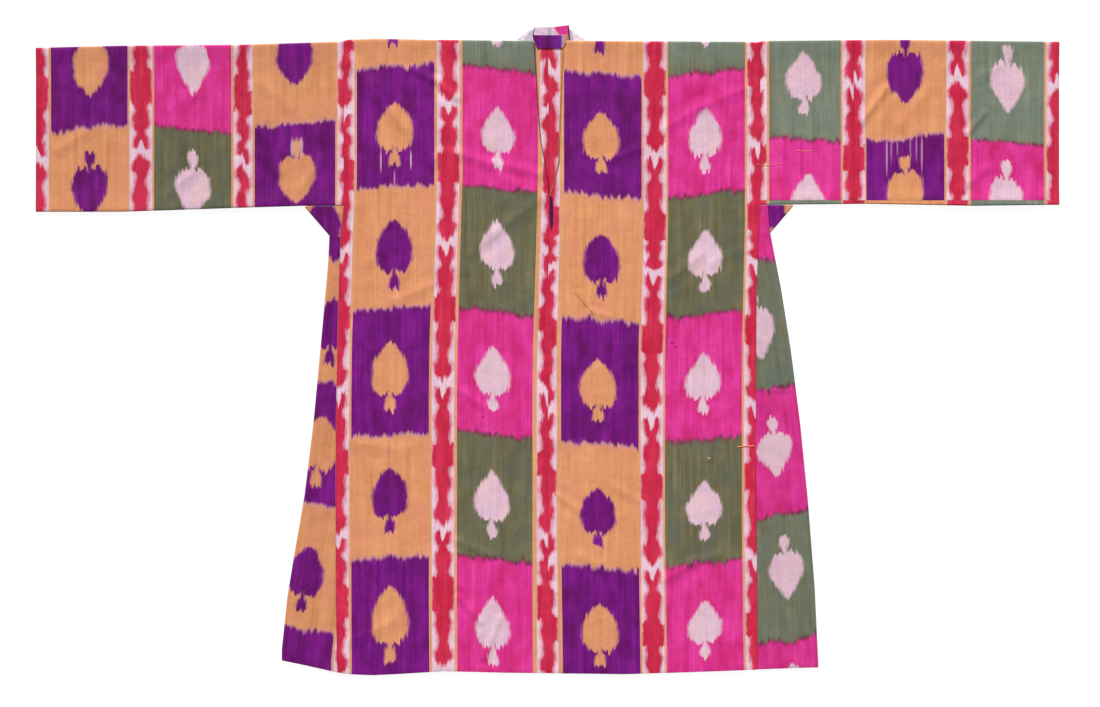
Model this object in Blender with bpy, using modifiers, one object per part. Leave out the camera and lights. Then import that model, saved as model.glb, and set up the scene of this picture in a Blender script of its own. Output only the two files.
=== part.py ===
"""A pull-on tunic of ikat cloth, laid flat on its back.

The garment lies in the XY plane with its neck towards +Y and its underside on z = 0. Two loom
widths run from the front hem over the shoulders to the back hem. The sleeves are flattened tubes
in two lengths each, and gussets and flared gores fill the sides. All sizes are in metres.
"""

import math
from collections import namedtuple

import bpy
from mathutils import Vector
from mathutils.geometry import intersect_point_line

OBJECT_NAME = "ikat_tunic"

# Cloth, its seams and how the two layers lie on each other.
WALL = 0.0012
SEAM_GAP = 0.0003
LAYER_GAP = 0.0008
BACK_HEIGHT = WALL / 2
FRONT_HEIGHT = BACK_HEIGHT + WALL + LAYER_GAP

# A folded edge is rounder than the flat cloth: its loft, how far in that reaches, its roundness.
EDGE_LOFT = 0.0020
EDGE_LOFT_WIDTH = 0.022
FOLD_REACH = 0.0015
FOLD_STEPS = 4
EDGE_INSET = FOLD_REACH + WALL / 2

# How finely each piece is divided.
PANEL_COLUMNS = 9
GORE_FRONT_COLUMNS = 4
GORE_BACK_COLUMNS = 2
SLEEVE_FRONT_STEPS = 8
SLEEVE_BACK_STEPS = 3
SLEEVE_COLUMN = 0.045

# Rows that all body pieces share, so that both sides of a seam have the same points.
STATIONS = (
    -0.500, -0.400, -0.300, -0.200, -0.100, 0.000, 0.070, 0.130, 0.194,
    0.2462, 0.262, 0.286, 0.320, 0.357, 0.394, 0.440, 0.483, 0.514,
)

# The levels near which the hem and shoulder rows read their side edges.
HEM_LEVEL = -0.545
SHOULDER_LEVEL = 0.523

Across = namedtuple("Across", "x y")
Down = namedtuple("Down", "y x")
Fold = namedtuple("Fold", "x1 y1 x2 y2 height width")
Strip = namedtuple("Strip", "y left right")

# The outline: top edge from cuff to cuff, underarm edges, hem and outer edges of the gores.
SHOULDER_LEFT = (
    Across(-0.868, 0.5134), Across(-0.727, 0.5168), Across(-0.523, 0.5185), Across(-0.462, 0.5202),
    Across(-0.360, 0.5236), Across(-0.346, 0.5250), Across(-0.339, 0.5270), Across(-0.288, 0.5287),
    Across(-0.207, 0.5270), Across(-0.054, 0.5253), Across(-0.023, 0.5253),
)
SHOULDER_RIGHT = (
    Across(0.033, 0.5253), Across(0.161, 0.5245), Across(0.334, 0.5236), Across(0.356, 0.5225),
    Across(0.368, 0.5250), Across(0.579, 0.5270), Across(0.868, 0.5236),
)
UNDERARM_LEFT = (
    Across(-0.868, 0.2346), Across(-0.727, 0.2346), Across(-0.625, 0.2380), Across(-0.523, 0.2414),
    Across(-0.414, 0.2448), Across(-0.346, 0.2448),
)
UNDERARM_RIGHT = (
    Across(0.361, 0.2465), Across(0.538, 0.2482), Across(0.722, 0.2448), Across(0.868, 0.2465),
)
HEM = (
    Across(-0.4500, -0.5270), Across(-0.4208, -0.5338), Across(-0.3800, -0.5440),
    Across(-0.3392, -0.5508), Across(-0.2984, -0.5525), Across(-0.2576, -0.5508),
    Across(-0.1760, -0.5457), Across(-0.0740, -0.5483), Across(0.0010, -0.5491),
    Across(0.1301, -0.5508), Across(0.2423, -0.5474), Across(0.3341, -0.5440),
    Across(0.3953, -0.5406), Across(0.4600, -0.5389),
)
GORE_EDGE_LEFT = (
    Down(0.1938, -0.3705), Down(0.153, -0.3723), Down(0.102, -0.3766), Down(0.000, -0.3859),
    Down(-0.1275, -0.3978), Down(-0.255, -0.4131), Down(-0.357, -0.4301), Down(-0.4335, -0.4420),
    Down(-0.527, -0.4514),
)
GORE_EDGE_RIGHT = (
    Down(0.2465, 0.3749), Down(0.1989, 0.3783), Down(0.102, 0.3970), Down(0.000, 0.4131),
    Down(-0.1275, 0.4293), Down(-0.255, 0.4420), Down(-0.408, 0.4539), Down(-0.5389, 0.4600),
)

# Seams: sleeves to body, the joined lengths of each sleeve, body to gores, and the centre.
ARM_SEAM_LEFT = -0.3460
ARM_SEAM_RIGHT = 0.3613
SLEEVE_JOIN_LEFT = -0.5177
SLEEVE_JOIN_RIGHT = 0.5202
CUFF_LEFT = -0.8690
CUFF_RIGHT = 0.8690
SIDE_LEFT = (
    Down(0.2462, -0.3460), Down(0.194, -0.3511), Down(0.051, -0.3562), Down(-0.153, -0.3596),
    Down(-0.425, -0.3596), Down(-0.555, -0.3568),
)
SIDE_RIGHT = (
    Down(0.2462, 0.3613), Down(0.102, 0.3550), Down(-0.153, 0.3536), Down(-0.555, 0.3579),
)
CENTRE_SEAM = (
    Down(0.262, 0.0041), Down(0.194, 0.0016), Down(0.070, 0.0009), Down(-0.555, 0.0009),
)

# The neck slit opens above the centre seam, and the back neck dips between the shoulders.
SLIT_LEFT = (
    Down(0.5253, -0.0225), Down(0.483, -0.0196), Down(0.394, -0.0145), Down(0.357, -0.0111),
    Down(0.320, -0.0043), Down(0.286, 0.0014), Down(0.262, 0.0039),
)
SLIT_RIGHT = (
    Down(0.5253, 0.0328), Down(0.514, 0.0266), Down(0.483, 0.0254), Down(0.394, 0.0212),
    Down(0.357, 0.0201), Down(0.320, 0.0190), Down(0.286, 0.0122), Down(0.262, 0.0043),
)
BACK_NECK_LEFT = (Down(SHOULDER_LEVEL, -0.0225), Down(0.514, 0.0004), Down(0.262, 0.0039))
BACK_NECK_RIGHT = (Down(SHOULDER_LEVEL, 0.0328), Down(0.514, 0.0014), Down(0.262, 0.0043))

SLIT_FOOT = 0.262

# Where each gore starts, and the gussets: the point on the sleeve and the low point, joined by
# the folded edge.
GORE_TOP_LEFT = 0.194
GORE_TOP_RIGHT = 0.2462
GUSSET_LEFT_TIP = Vector((-0.4140, 0.2445))
GUSSET_LEFT_FOOT = Vector((-0.3708, 0.1945))
GUSSET_RIGHT_TIP = Vector((0.4190, 0.2462))
GUSSET_RIGHT_FOOT = Vector((0.3793, 0.1995))
GUSSET_SLEEVE_SHARES = (0.86, 0.45, 0.0)
GUSSET_SIDE_SHARES = (0.45, 0.90)
GUSSET_FOLD_SHARES = (0.05, 0.28, 0.50, 0.73, 0.94)

# Collar: four flat strips above the shoulder line, and trim at the slit.
COLLAR_HEIGHT = BACK_HEIGHT + WALL + SEAM_GAP
COLLAR_BAND = (Strip(0.5341, -0.0230, 0.0366), Strip(0.5448, -0.0230, 0.0366))
COLLAR_BAND_TOP = (Across(-0.0228, 0.5479), Across(0.0102, 0.5484), Across(0.0349, 0.5519))
COLLAR_FACING = (
    Strip(0.5134, -0.0212, 0.0306), Strip(0.5262, -0.0220, 0.0320), Strip(0.5338, -0.0230, 0.0366),
)
WING_LEFT = (Strip(0.5258, -0.0553, -0.0238), Strip(0.5440, -0.0278, -0.0236))
WING_RIGHT = (Strip(0.5258, 0.0374, 0.0670), Strip(0.5448, 0.0370, 0.0385))
STRIP_COLUMNS = 6
PIPING_RADIUS = 0.0007
PIPING_INSET = 0.0010
TACK_LEFT = 0.0032
TACK_RIGHT = 0.0100
TACK_ROWS = (0.2600, 0.2462, 0.2300, 0.2060)

# The largest soft folds of the front, each a ridge between two points.
FOLDS = (
    Fold(-0.344, 0.484, -0.191, 0.306, 0.0025, 0.024),
    Fold(-0.217, 0.471, -0.161, 0.434, 0.0020, 0.018),
    Fold(-0.145, 0.333, -0.016, 0.301, 0.0014, 0.020),
    Fold(0.535, 0.391, 0.574, 0.445, 0.0020, 0.018),
    Fold(0.715, 0.371, 0.739, 0.400, 0.0015, 0.016),
    Fold(-0.144, -0.425, -0.115, -0.459, 0.0015, 0.018),
    Fold(0.052, 0.092, 0.076, 0.062, 0.0014, 0.018),
)

PURPLE = (0.17, 0.01, 0.20)
GOLD = (0.75, 0.36, 0.12)
PINK = (0.70, 0.03, 0.26)
GREEN = (0.15, 0.19, 0.10)
LILAC = (0.76, 0.58, 0.72)
DARK_THREAD = (0.10, 0.05, 0.12)


def read(table, at):
    """The second column of a table at a place in its first, in straight steps."""
    rows = sorted(table)
    if at <= rows[0][0]:
        return rows[0][1]
    for low, high in zip(rows, rows[1:]):
        if at <= high[0]:
            share = (at - low[0]) / (high[0] - low[0])
            return low[1] + share * (high[1] - low[1])
    return rows[-1][1]


def spread(start, end, count):
    """count + 1 even values from start to end."""
    return [start + (end - start) * step / count for step in range(count + 1)]


def segment_distance(point, start, end):
    """Distance from a point to a stretch between two points, all in the XY plane."""
    _, share = intersect_point_line(point, start, end)
    nearest = start.lerp(end, min(1.0, max(0.0, share)))
    return (point - nearest).length


def line_points(table):
    """The points of an outline table, whichever column comes first."""
    return [Vector((row.x, row.y)) for row in table]


FOLDED_EDGES = (
    line_points(SHOULDER_LEFT),
    line_points(SHOULDER_RIGHT),
    line_points(UNDERARM_LEFT),
    line_points(UNDERARM_RIGHT),
    line_points(GORE_EDGE_LEFT),
    line_points(GORE_EDGE_RIGHT),
    [GUSSET_LEFT_TIP, GUSSET_LEFT_FOOT],
    [GUSSET_RIGHT_TIP, GUSSET_RIGHT_FOOT],
)


def front_height(x, y):
    """Height of the middle of the front layer: flat cloth, its rounded edges and its folds."""
    point = Vector((x, y))
    reach = min(
        segment_distance(point, start, end)
        for line in FOLDED_EDGES
        for start, end in zip(line, line[1:])
    )
    height = FRONT_HEIGHT + EDGE_LOFT * math.exp(-((reach / EDGE_LOFT_WIDTH) ** 2))
    for fold in FOLDS:
        start = Vector((fold.x1, fold.y1))
        end = Vector((fold.x2, fold.y2))
        away = segment_distance(point, start, end) / fold.width
        height += fold.height * math.exp(-(away ** 2))
    return height


def on_front(x, y):
    return Vector((x, y, front_height(x, y)))


def on_back(x, y):
    return Vector((x, y, BACK_HEIGHT))


def turned_edge(front, back, outward):
    """The points of a folded edge between the front layer and the back one."""
    centre = (front + back) / 2
    half = (front - back) / 2
    angles = [math.pi * step / FOLD_STEPS for step in range(1, FOLD_STEPS)]
    return [centre + half * math.cos(a) + outward * FOLD_REACH * math.sin(a) for a in angles]


def cloth_material(name, colour):
    material = bpy.data.materials.new(name)
    material.use_nodes = True
    shader = material.node_tree.nodes["Principled BSDF"]
    shader.inputs["Base Color"].default_value = (*colour, 1.0)
    shader.inputs["Roughness"].default_value = 0.55
    shader.inputs["Metallic"].default_value = 0.0
    return material


def add_to_object(shape, colour):
    bpy.data.collections[OBJECT_NAME].objects.link(shape)
    shape.data.materials.append(cloth_material(shape.name + "_cloth", colour))
    return shape


def cloth(name, rows, colour, closed=False):
    """A wall of cloth through rows of points. With closed, each row joins up into a ring."""
    width = len(rows[0])
    points = [point for row in rows for point in row]
    spans = width if closed else width - 1
    faces = []
    for row in range(len(rows) - 1):
        for column in range(spans):
            here = row * width + column
            beside = row * width + (column + 1) % width
            faces.append((here, beside, beside + width, here + width))
    mesh = bpy.data.meshes.new(name)
    mesh.from_pydata(points, [], faces)
    mesh.shade_smooth()
    piece = add_to_object(bpy.data.objects.new(name, mesh), colour)
    wall = piece.modifiers.new("Wall", "SOLIDIFY")
    wall.thickness = WALL
    wall.offset = 0.0
    return piece


def moved(table, by):
    """A side edge moved across, to leave a seam's gap."""
    return tuple(Down(row.y, row.x + by) for row in table)


def trimmed(x, y):
    """The true level of a row at x: the hem and shoulder rows follow the outline."""
    if y == HEM_LEVEL:
        return read(HEM, x)
    if y == SHOULDER_LEVEL:
        return read(SHOULDER_LEFT + SHOULDER_RIGHT, x) - EDGE_INSET
    return y


def panel_layer(left, right, place):
    """The rows of one layer of a body panel, from the hem to the shoulder."""
    rows = []
    for y in (HEM_LEVEL, *STATIONS, SHOULDER_LEVEL):
        across = spread(read(left, y), read(right, y), PANEL_COLUMNS)
        rows.append([place(x, trimmed(x, y)) for x in across])
    return rows


def body_panel(name, front, back, colour):
    """A loom width from the front hem over the shoulder to the back hem."""
    up = Vector((0.0, 1.0, 0.0))
    edges = [turned_edge(ahead, behind, up) for ahead, behind in zip(front[-1], back[-1])]
    shoulder = [list(row) for row in zip(*edges)]
    return cloth(name, front + shoulder + back[::-1], colour)


def sleeve(name, low_x, high_x, underarm, shoulder, colour):
    """A flattened tube of cloth, open at both ends."""
    up = Vector((0.0, 1.0, 0.0))
    count = max(2, round((high_x - low_x) / SLEEVE_COLUMN))
    rings = []
    for x in spread(high_x - SEAM_GAP / 2, low_x + SEAM_GAP / 2, count):
        bottom = read(underarm, x) + EDGE_INSET
        top = read(shoulder, x) - EDGE_INSET
        front = [on_front(x, y) for y in spread(bottom, top, SLEEVE_FRONT_STEPS)]
        back = [on_back(x, y) for y in spread(top, bottom, SLEEVE_BACK_STEPS)]
        top_fold = turned_edge(front[-1], back[0], up)
        bottom_fold = turned_edge(back[-1], front[0], -up)
        rings.append(front + top_fold + back + bottom_fold)
    return cloth(name, rings, colour, closed=True)


def folded_row(inner, outer):
    """A row of a piece folded at its outer edge: front seam, fold, back seam."""
    outward = (outer - inner).normalized()
    rim = outer - outward * EDGE_INSET
    front = [inner.lerp(rim, share) for share in spread(0.0, 1.0, GORE_FRONT_COLUMNS)]
    back = [rim.lerp(inner, share) for share in spread(0.0, 1.0, GORE_BACK_COLUMNS)]
    front = [on_front(*point) for point in front]
    back = [on_back(*point) for point in back]
    return front + turned_edge(front[-1], back[0], outward.to_3d()) + back


def gore(name, seam, edge, top, colour):
    """A flared side piece, folded at its outer edge, from its top down to the hem."""
    rows = []
    for y in (HEM_LEVEL, *[y for y in STATIONS if y <= top]):
        inner_x = read(seam, y)
        outer_x = read(edge, y)
        inner = Vector((inner_x, trimmed(inner_x, y)))
        outer = Vector((outer_x, trimmed(outer_x, y)))
        rows.append(folded_row(inner, outer))
    return cloth(name, rows, colour)


def gusset(name, tip, foot, corner_x, side, colour):
    """A square folded into a triangle between the sleeve, the panel and the gore."""
    corner = Vector((corner_x, tip.y))
    along_sleeve = [corner.lerp(tip, share) for share in GUSSET_SLEEVE_SHARES]
    down_side = []
    for share in GUSSET_SIDE_SHARES:
        y = corner.y + (foot.y - corner.y) * share
        down_side.append(Vector((read(side, y), y)))
    folds = [tip.lerp(foot, share) for share in GUSSET_FOLD_SHARES]
    rows = [folded_row(inner, outer) for inner, outer in zip(along_sleeve + down_side, folds)]
    return cloth(name, rows, colour)


def strip(name, rows, height, colour):
    """A flat strip of cloth through rows that give its level and its two ends."""
    points = []
    for row in rows:
        across = spread(row.left, row.right, STRIP_COLUMNS)
        points.append([Vector((x, row.y, height)) for x in across])
    return cloth(name, points, colour)


def collar_band(name, colour):
    """The stand of the collar at the back neck, with its uneven top edge."""
    rows = []
    for row in COLLAR_BAND:
        across = spread(row.left, row.right, STRIP_COLUMNS)
        rows.append([Vector((x, row.y, COLLAR_HEIGHT)) for x in across])
    rows.append([Vector((point.x, read(COLLAR_BAND_TOP, point.x), point.z)) for point in rows[-1]])
    return cloth(name, rows, colour)


def piping(name, edge_points, inward, colour):
    """A thin rolled edging that lies on a panel along its slit edge."""
    lift = WALL / 2 + SEAM_GAP + PIPING_RADIUS
    curve = bpy.data.curves.new(name, "CURVE")
    curve.dimensions = "3D"
    curve.bevel_depth = PIPING_RADIUS
    curve.bevel_resolution = 1
    curve.use_fill_caps = True
    spline = curve.splines.new("POLY")
    spline.points.add(len(edge_points) - 1)
    for control, point in zip(spline.points, edge_points):
        control.co = (point.x + inward * PIPING_INSET, point.y, point.z + lift, 1.0)
    return add_to_object(bpy.data.objects.new(name, curve), colour)


def slit_edge(layer, column):
    """The points of a front layer's edge beside the neck slit."""
    return [row[column] for row in layer if row[column].y >= SLIT_FOOT]


def start_scene():
    for shape in list(bpy.data.objects):
        bpy.data.objects.remove(shape, do_unlink=True)
    group = bpy.data.collections.new(OBJECT_NAME)
    bpy.context.scene.collection.children.link(group)


def main():
    start_scene()
    half = SEAM_GAP / 2

    left_side = moved(SIDE_LEFT, half)
    left_centre = moved(CENTRE_SEAM, -half)
    left_front = panel_layer(left_side, SLIT_LEFT + left_centre[1:], on_front)
    left_back = panel_layer(left_side, BACK_NECK_LEFT + left_centre[1:], on_back)
    body_panel("left_body_panel", left_front, left_back, PURPLE)

    right_side = moved(SIDE_RIGHT, -half)
    right_centre = moved(CENTRE_SEAM, half)
    right_front = panel_layer(SLIT_RIGHT + right_centre[1:], right_side, on_front)
    right_back = panel_layer(BACK_NECK_RIGHT + right_centre[1:], right_side, on_back)
    body_panel("right_body_panel", right_front, right_back, PINK)

    left_arm = (UNDERARM_LEFT, SHOULDER_LEFT)
    right_arm = (UNDERARM_RIGHT, SHOULDER_RIGHT)
    sleeve("left_sleeve_inner", SLEEVE_JOIN_LEFT, ARM_SEAM_LEFT, *left_arm, GOLD)
    sleeve("left_sleeve_cuff", CUFF_LEFT, SLEEVE_JOIN_LEFT, *left_arm, GREEN)
    sleeve("right_sleeve_inner", ARM_SEAM_RIGHT, SLEEVE_JOIN_RIGHT, *right_arm, GREEN)
    sleeve("right_sleeve_cuff", SLEEVE_JOIN_RIGHT, CUFF_RIGHT, *right_arm, GOLD)

    left_seam = moved(SIDE_LEFT, -half)
    right_seam = moved(SIDE_RIGHT, half)
    gore("left_gore", left_seam, GORE_EDGE_LEFT, GORE_TOP_LEFT, GOLD)
    gore("right_gore", right_seam, GORE_EDGE_RIGHT, GORE_TOP_RIGHT, GREEN)
    left_gusset_side = moved(SIDE_LEFT, -SEAM_GAP)
    right_gusset_side = moved(GORE_EDGE_RIGHT, SEAM_GAP)
    left_corner = ARM_SEAM_LEFT - SEAM_GAP
    right_corner = GORE_EDGE_RIGHT[0].x + SEAM_GAP
    gusset("left_gusset", GUSSET_LEFT_TIP, GUSSET_LEFT_FOOT, left_corner, left_gusset_side, PURPLE)
    gusset(
        "right_gusset", GUSSET_RIGHT_TIP, GUSSET_RIGHT_FOOT, right_corner, right_gusset_side, PURPLE
    )

    collar_band("collar_band", LILAC)
    strip("collar_facing", COLLAR_FACING, COLLAR_HEIGHT, PURPLE)
    strip("left_collar_wing", WING_LEFT, COLLAR_HEIGHT, LILAC)
    strip("right_collar_wing", WING_RIGHT, COLLAR_HEIGHT, LILAC)
    piping("left_slit_piping", slit_edge(left_front, -1), -1.0, DARK_THREAD)
    piping("right_slit_piping", slit_edge(right_front, 0), 1.0, DARK_THREAD)
    tack = [Strip(y, TACK_LEFT, TACK_RIGHT) for y in TACK_ROWS]
    strip("slit_tack", tack, FRONT_HEIGHT + WALL + SEAM_GAP, DARK_THREAD)


main()
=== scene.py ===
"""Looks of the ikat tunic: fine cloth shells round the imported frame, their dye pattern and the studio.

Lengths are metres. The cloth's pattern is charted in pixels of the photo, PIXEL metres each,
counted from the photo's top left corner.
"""

import math
from collections import namedtuple

import bmesh
import bpy
import numpy as np
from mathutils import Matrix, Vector


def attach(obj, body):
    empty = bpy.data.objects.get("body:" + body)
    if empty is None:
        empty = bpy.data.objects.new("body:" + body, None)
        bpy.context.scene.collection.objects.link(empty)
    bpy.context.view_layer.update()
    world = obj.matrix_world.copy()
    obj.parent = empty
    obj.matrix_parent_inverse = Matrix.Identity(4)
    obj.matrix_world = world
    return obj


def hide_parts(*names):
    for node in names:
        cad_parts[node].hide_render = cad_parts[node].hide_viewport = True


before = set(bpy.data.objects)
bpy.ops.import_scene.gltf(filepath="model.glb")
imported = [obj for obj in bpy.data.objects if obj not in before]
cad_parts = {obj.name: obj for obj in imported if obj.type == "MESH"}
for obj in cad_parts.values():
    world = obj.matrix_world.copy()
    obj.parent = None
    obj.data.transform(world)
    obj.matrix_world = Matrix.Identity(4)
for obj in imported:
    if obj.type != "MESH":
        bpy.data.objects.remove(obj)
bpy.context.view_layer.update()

PIXEL = 0.0017
ORIGIN_X = 547.5
ORIGIN_Y = 350.0

# Cloth, and how its two layers lie on each other, as in the solids but finer.
CLOTH = 0.0006
LAYER_GAP = 0.0017
BACK_HEIGHT = CLOTH / 2
FRONT_HEIGHT = BACK_HEIGHT + CLOTH + LAYER_GAP
EDGE_LOFT = 0.0020
EDGE_LOFT_WIDTH = 0.022
FOLD_REACH = 0.0016
EDGE_INSET = FOLD_REACH + CLOTH / 2
FINE = 0.0036
COARSE = 0.0100
FOLD_STEPS = 8

# A distance from the seams in pixels at which they no longer tell, and the same on a small gusset.
FAR_FROM_SEAMS = 99.0
GUSSET_EDGE = 12.0

Across = namedtuple("Across", "x y")
Down = namedtuple("Down", "y x")
Crease = namedtuple("Crease", "x1 y1 x2 y2 height width")
Cell = namedtuple("Cell", "start tip end centre")
Column = namedtuple("Column", "kind cells first tilt")
Link = namedtuple("Link", "top full_start full_end")
Band = namedtuple("Band", "left right chart anchor")
Span = namedtuple("Span", "band first last")

STRIPE, PURPLE_GOLD, PINK_GREEN = 0, 1, 2

# A piece of cloth is named after the solid that it stands for, with this at the end.
SHELL = "_shell"

# The outline, as the solids have it.
SHOULDER_LEFT = (
    Across(-0.868, 0.5134), Across(-0.727, 0.5168), Across(-0.523, 0.5185), Across(-0.462, 0.5202),
    Across(-0.360, 0.5236), Across(-0.346, 0.5250), Across(-0.339, 0.5270), Across(-0.288, 0.5287),
    Across(-0.207, 0.5270), Across(-0.054, 0.5253), Across(-0.023, 0.5253),
)
SHOULDER_RIGHT = (
    Across(0.033, 0.5253), Across(0.161, 0.5245), Across(0.334, 0.5236), Across(0.356, 0.5225),
    Across(0.368, 0.5250), Across(0.579, 0.5270), Across(0.868, 0.5236),
)
UNDERARM_LEFT = (
    Across(-0.868, 0.2346), Across(-0.727, 0.2346), Across(-0.625, 0.2380), Across(-0.523, 0.2414),
    Across(-0.414, 0.2448), Across(-0.346, 0.2448),
)
UNDERARM_RIGHT = (
    Across(0.361, 0.2465), Across(0.538, 0.2482), Across(0.722, 0.2448), Across(0.868, 0.2465),
)
HEM = (
    Across(-0.4500, -0.5270), Across(-0.4208, -0.5338), Across(-0.3800, -0.5440),
    Across(-0.3392, -0.5508), Across(-0.2984, -0.5525), Across(-0.2576, -0.5508),
    Across(-0.1760, -0.5457), Across(-0.0740, -0.5483), Across(0.0010, -0.5491),
    Across(0.1301, -0.5508), Across(0.2423, -0.5474), Across(0.3341, -0.5440),
    Across(0.3953, -0.5406), Across(0.4600, -0.5389),
)
GORE_EDGE_LEFT = (
    Down(0.1938, -0.3705), Down(0.153, -0.3723), Down(0.102, -0.3766), Down(0.000, -0.3859),
    Down(-0.1275, -0.3978), Down(-0.255, -0.4131), Down(-0.357, -0.4301), Down(-0.4335, -0.4420),
    Down(-0.527, -0.4514),
)
GORE_EDGE_RIGHT = (
    Down(0.2465, 0.3749), Down(0.1989, 0.3783), Down(0.102, 0.3970), Down(0.000, 0.4131),
    Down(-0.1275, 0.4293), Down(-0.255, 0.4420), Down(-0.408, 0.4539), Down(-0.5389, 0.4600),
)
ARM_SEAM_LEFT = -0.3460
ARM_SEAM_RIGHT = 0.3613
RIGHT_SLEEVE_SEAM_ROW = 200.5
SLEEVE_JOIN_LEFT = -0.5177
SLEEVE_JOIN_RIGHT = 0.5202
CUFF_LEFT = -0.8690
CUFF_RIGHT = 0.8690
SIDE_LEFT = (
    Down(0.2462, -0.3460), Down(0.194, -0.3511), Down(0.051, -0.3562), Down(-0.153, -0.3596),
    Down(-0.425, -0.3596), Down(-0.555, -0.3568),
)
SIDE_RIGHT = (
    Down(0.2462, 0.3613), Down(0.102, 0.3550), Down(-0.153, 0.3536), Down(-0.555, 0.3579),
)
CENTRE_SEAM = (
    Down(0.262, 0.0041), Down(0.194, 0.0016), Down(0.070, 0.0009), Down(-0.555, 0.0009),
)
SLIT_FOOT = 0.262
SLIT_TOP = 0.5215
HEM_LEVEL = -0.545
SHOULDER_LEVEL = 0.523
PANEL_LENGTH = 1.07
SLEEVE_DEPTH = 0.28
SLIT_LEFT = (
    Down(0.5253, -0.0225), Down(0.483, -0.0196), Down(0.394, -0.0145), Down(0.357, -0.0111),
    Down(0.320, -0.0043), Down(0.286, 0.0014), Down(0.262, 0.0039),
)
SLIT_RIGHT = (
    Down(0.5253, 0.0328), Down(0.514, 0.0266), Down(0.483, 0.0254), Down(0.394, 0.0212),
    Down(0.357, 0.0201), Down(0.320, 0.0190), Down(0.286, 0.0122), Down(0.262, 0.0043),
)
BACK_NECK_LEFT = (Down(0.523, -0.0225), Down(0.514, 0.0004), Down(0.262, 0.0039))
BACK_NECK_RIGHT = (Down(0.523, 0.0328), Down(0.514, 0.0004), Down(0.262, 0.0039))
GORE_TOP_LEFT = 0.1945
GORE_TOP_RIGHT = 0.2462
GUSSET_LEFT_TIP = (-0.4140, 0.2445)
GUSSET_LEFT_FOOT = (-0.3708, 0.1945)
GUSSET_RIGHT_TIP = (0.4190, 0.2462)
GUSSET_RIGHT_FOOT = (0.3793, 0.1995)

# A crease's crest for each mm of its height, how far its sides reach and the dip beside them.
CREST = 0.0014
SIDE_REACH = 0.7
SIDE_DIP = 0.4
DIP_PLACE = 1.6

# Creases of the front in photo pixels: a crest's ends, its height and how far its sides reach.
CREASES = tuple(Crease(*row) for row in (
    (350, 62, 432, 160, 1.7, 11.0), (376, 81, 410, 110, 0.8, 7.0), (412, 70, 434, 80, 1.4, 6.0),
    (434, 80, 456, 98, 1.6, 6.0), (446, 151, 492, 163, 1.0, 7.0), (492, 163, 539, 174, 1.0, 7.0),
    (482, 165, 539, 197, 0.8, 8.0), (482, 240, 539, 201, 1.2, 9.0), (470, 255, 500, 232, 0.7, 8.0),
    (395, 300, 432, 285, 0.9, 8.0), (370, 262, 400, 235, 0.6, 9.0), (580, 292, 592, 312, 1.0, 4.0),
    (592, 312, 609, 317, 0.8, 5.0), (612, 159, 642, 148, 0.9, 7.0), (664, 129, 700, 107, 1.0, 8.0),
    (700, 107, 748, 88, 0.8, 9.0), (672, 278, 702, 254, 1.1, 8.0), (712, 262, 742, 250, 0.6, 8.0),
    (460, 390, 484, 407, 1.0, 6.0), (456, 540, 492, 556, 1.0, 6.0), (460, 597, 481, 622, 1.3, 5.0),
    (500, 618, 485, 657, 1.2, 5.0), (559, 496, 582, 512, 0.9, 6.0), (614, 487, 640, 501, 0.8, 7.0),
    (665, 579, 693, 562, 1.1, 7.0), (693, 562, 716, 555, 0.9, 7.0), (716, 418, 708, 459, 1.0, 5.0),
    (580, 556, 604, 568, 0.7, 7.0), (352, 330, 372, 352, 0.9, 9.0), (350, 442, 400, 450, 0.8, 10.0),
    (352, 640, 392, 622, 0.9, 10.0), (770, 390, 788, 391, 0.8, 4.0), (769, 391, 770, 412, 0.7, 4.0),
    (862, 121, 886, 88, 1.7, 6.0), (900, 124, 930, 88, 0.7, 9.0), (968, 133, 984, 113, 1.5, 5.0),
    (977, 78, 1000, 66, 0.7, 8.0), (960, 190, 988, 168, 0.9, 7.0), (806, 198, 800, 180, 0.9, 5.0),
    (250, 146, 280, 172, 0.9, 8.0), (300, 190, 322, 160, 1.0, 8.0), (262, 84, 290, 108, 0.7, 9.0),
    (60, 150, 92, 128, 0.8, 9.0), (165, 196, 196, 172, 0.8, 8.0), (172, 108, 200, 90, 0.6, 9.0),
    (104, 70, 122, 96, 0.6, 8.0),
))


def across(px):
    """Where a photo column lies on the garment."""
    return (px - ORIGIN_X) * PIXEL


def up(py):
    """Where a photo row lies on the garment."""
    return (ORIGIN_Y - py) * PIXEL


def read(table, at):
    """The second column of a table at places in its first, in straight steps."""
    rows = np.array(sorted(table))
    return np.interp(at, rows[:, 0], rows[:, 1])


def points_of(table):
    return [(row.x, row.y) for row in table]


FOLDED_EDGES = (
    points_of(SHOULDER_LEFT), points_of(SHOULDER_RIGHT), points_of(UNDERARM_LEFT),
    points_of(UNDERARM_RIGHT), points_of(GORE_EDGE_LEFT), points_of(GORE_EDGE_RIGHT),
    [GUSSET_LEFT_TIP, GUSSET_LEFT_FOOT], [GUSSET_RIGHT_TIP, GUSSET_RIGHT_FOOT],
)


def segment_distance(x, y, start, end):
    """Distance of points from a stretch between two points."""
    dx, dy = end[0] - start[0], end[1] - start[1]
    share = ((x - start[0]) * dx + (y - start[1]) * dy) / (dx * dx + dy * dy)
    share = np.clip(share, 0.0, 1.0)
    return np.hypot(x - start[0] - share * dx, y - start[1] - share * dy)


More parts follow.
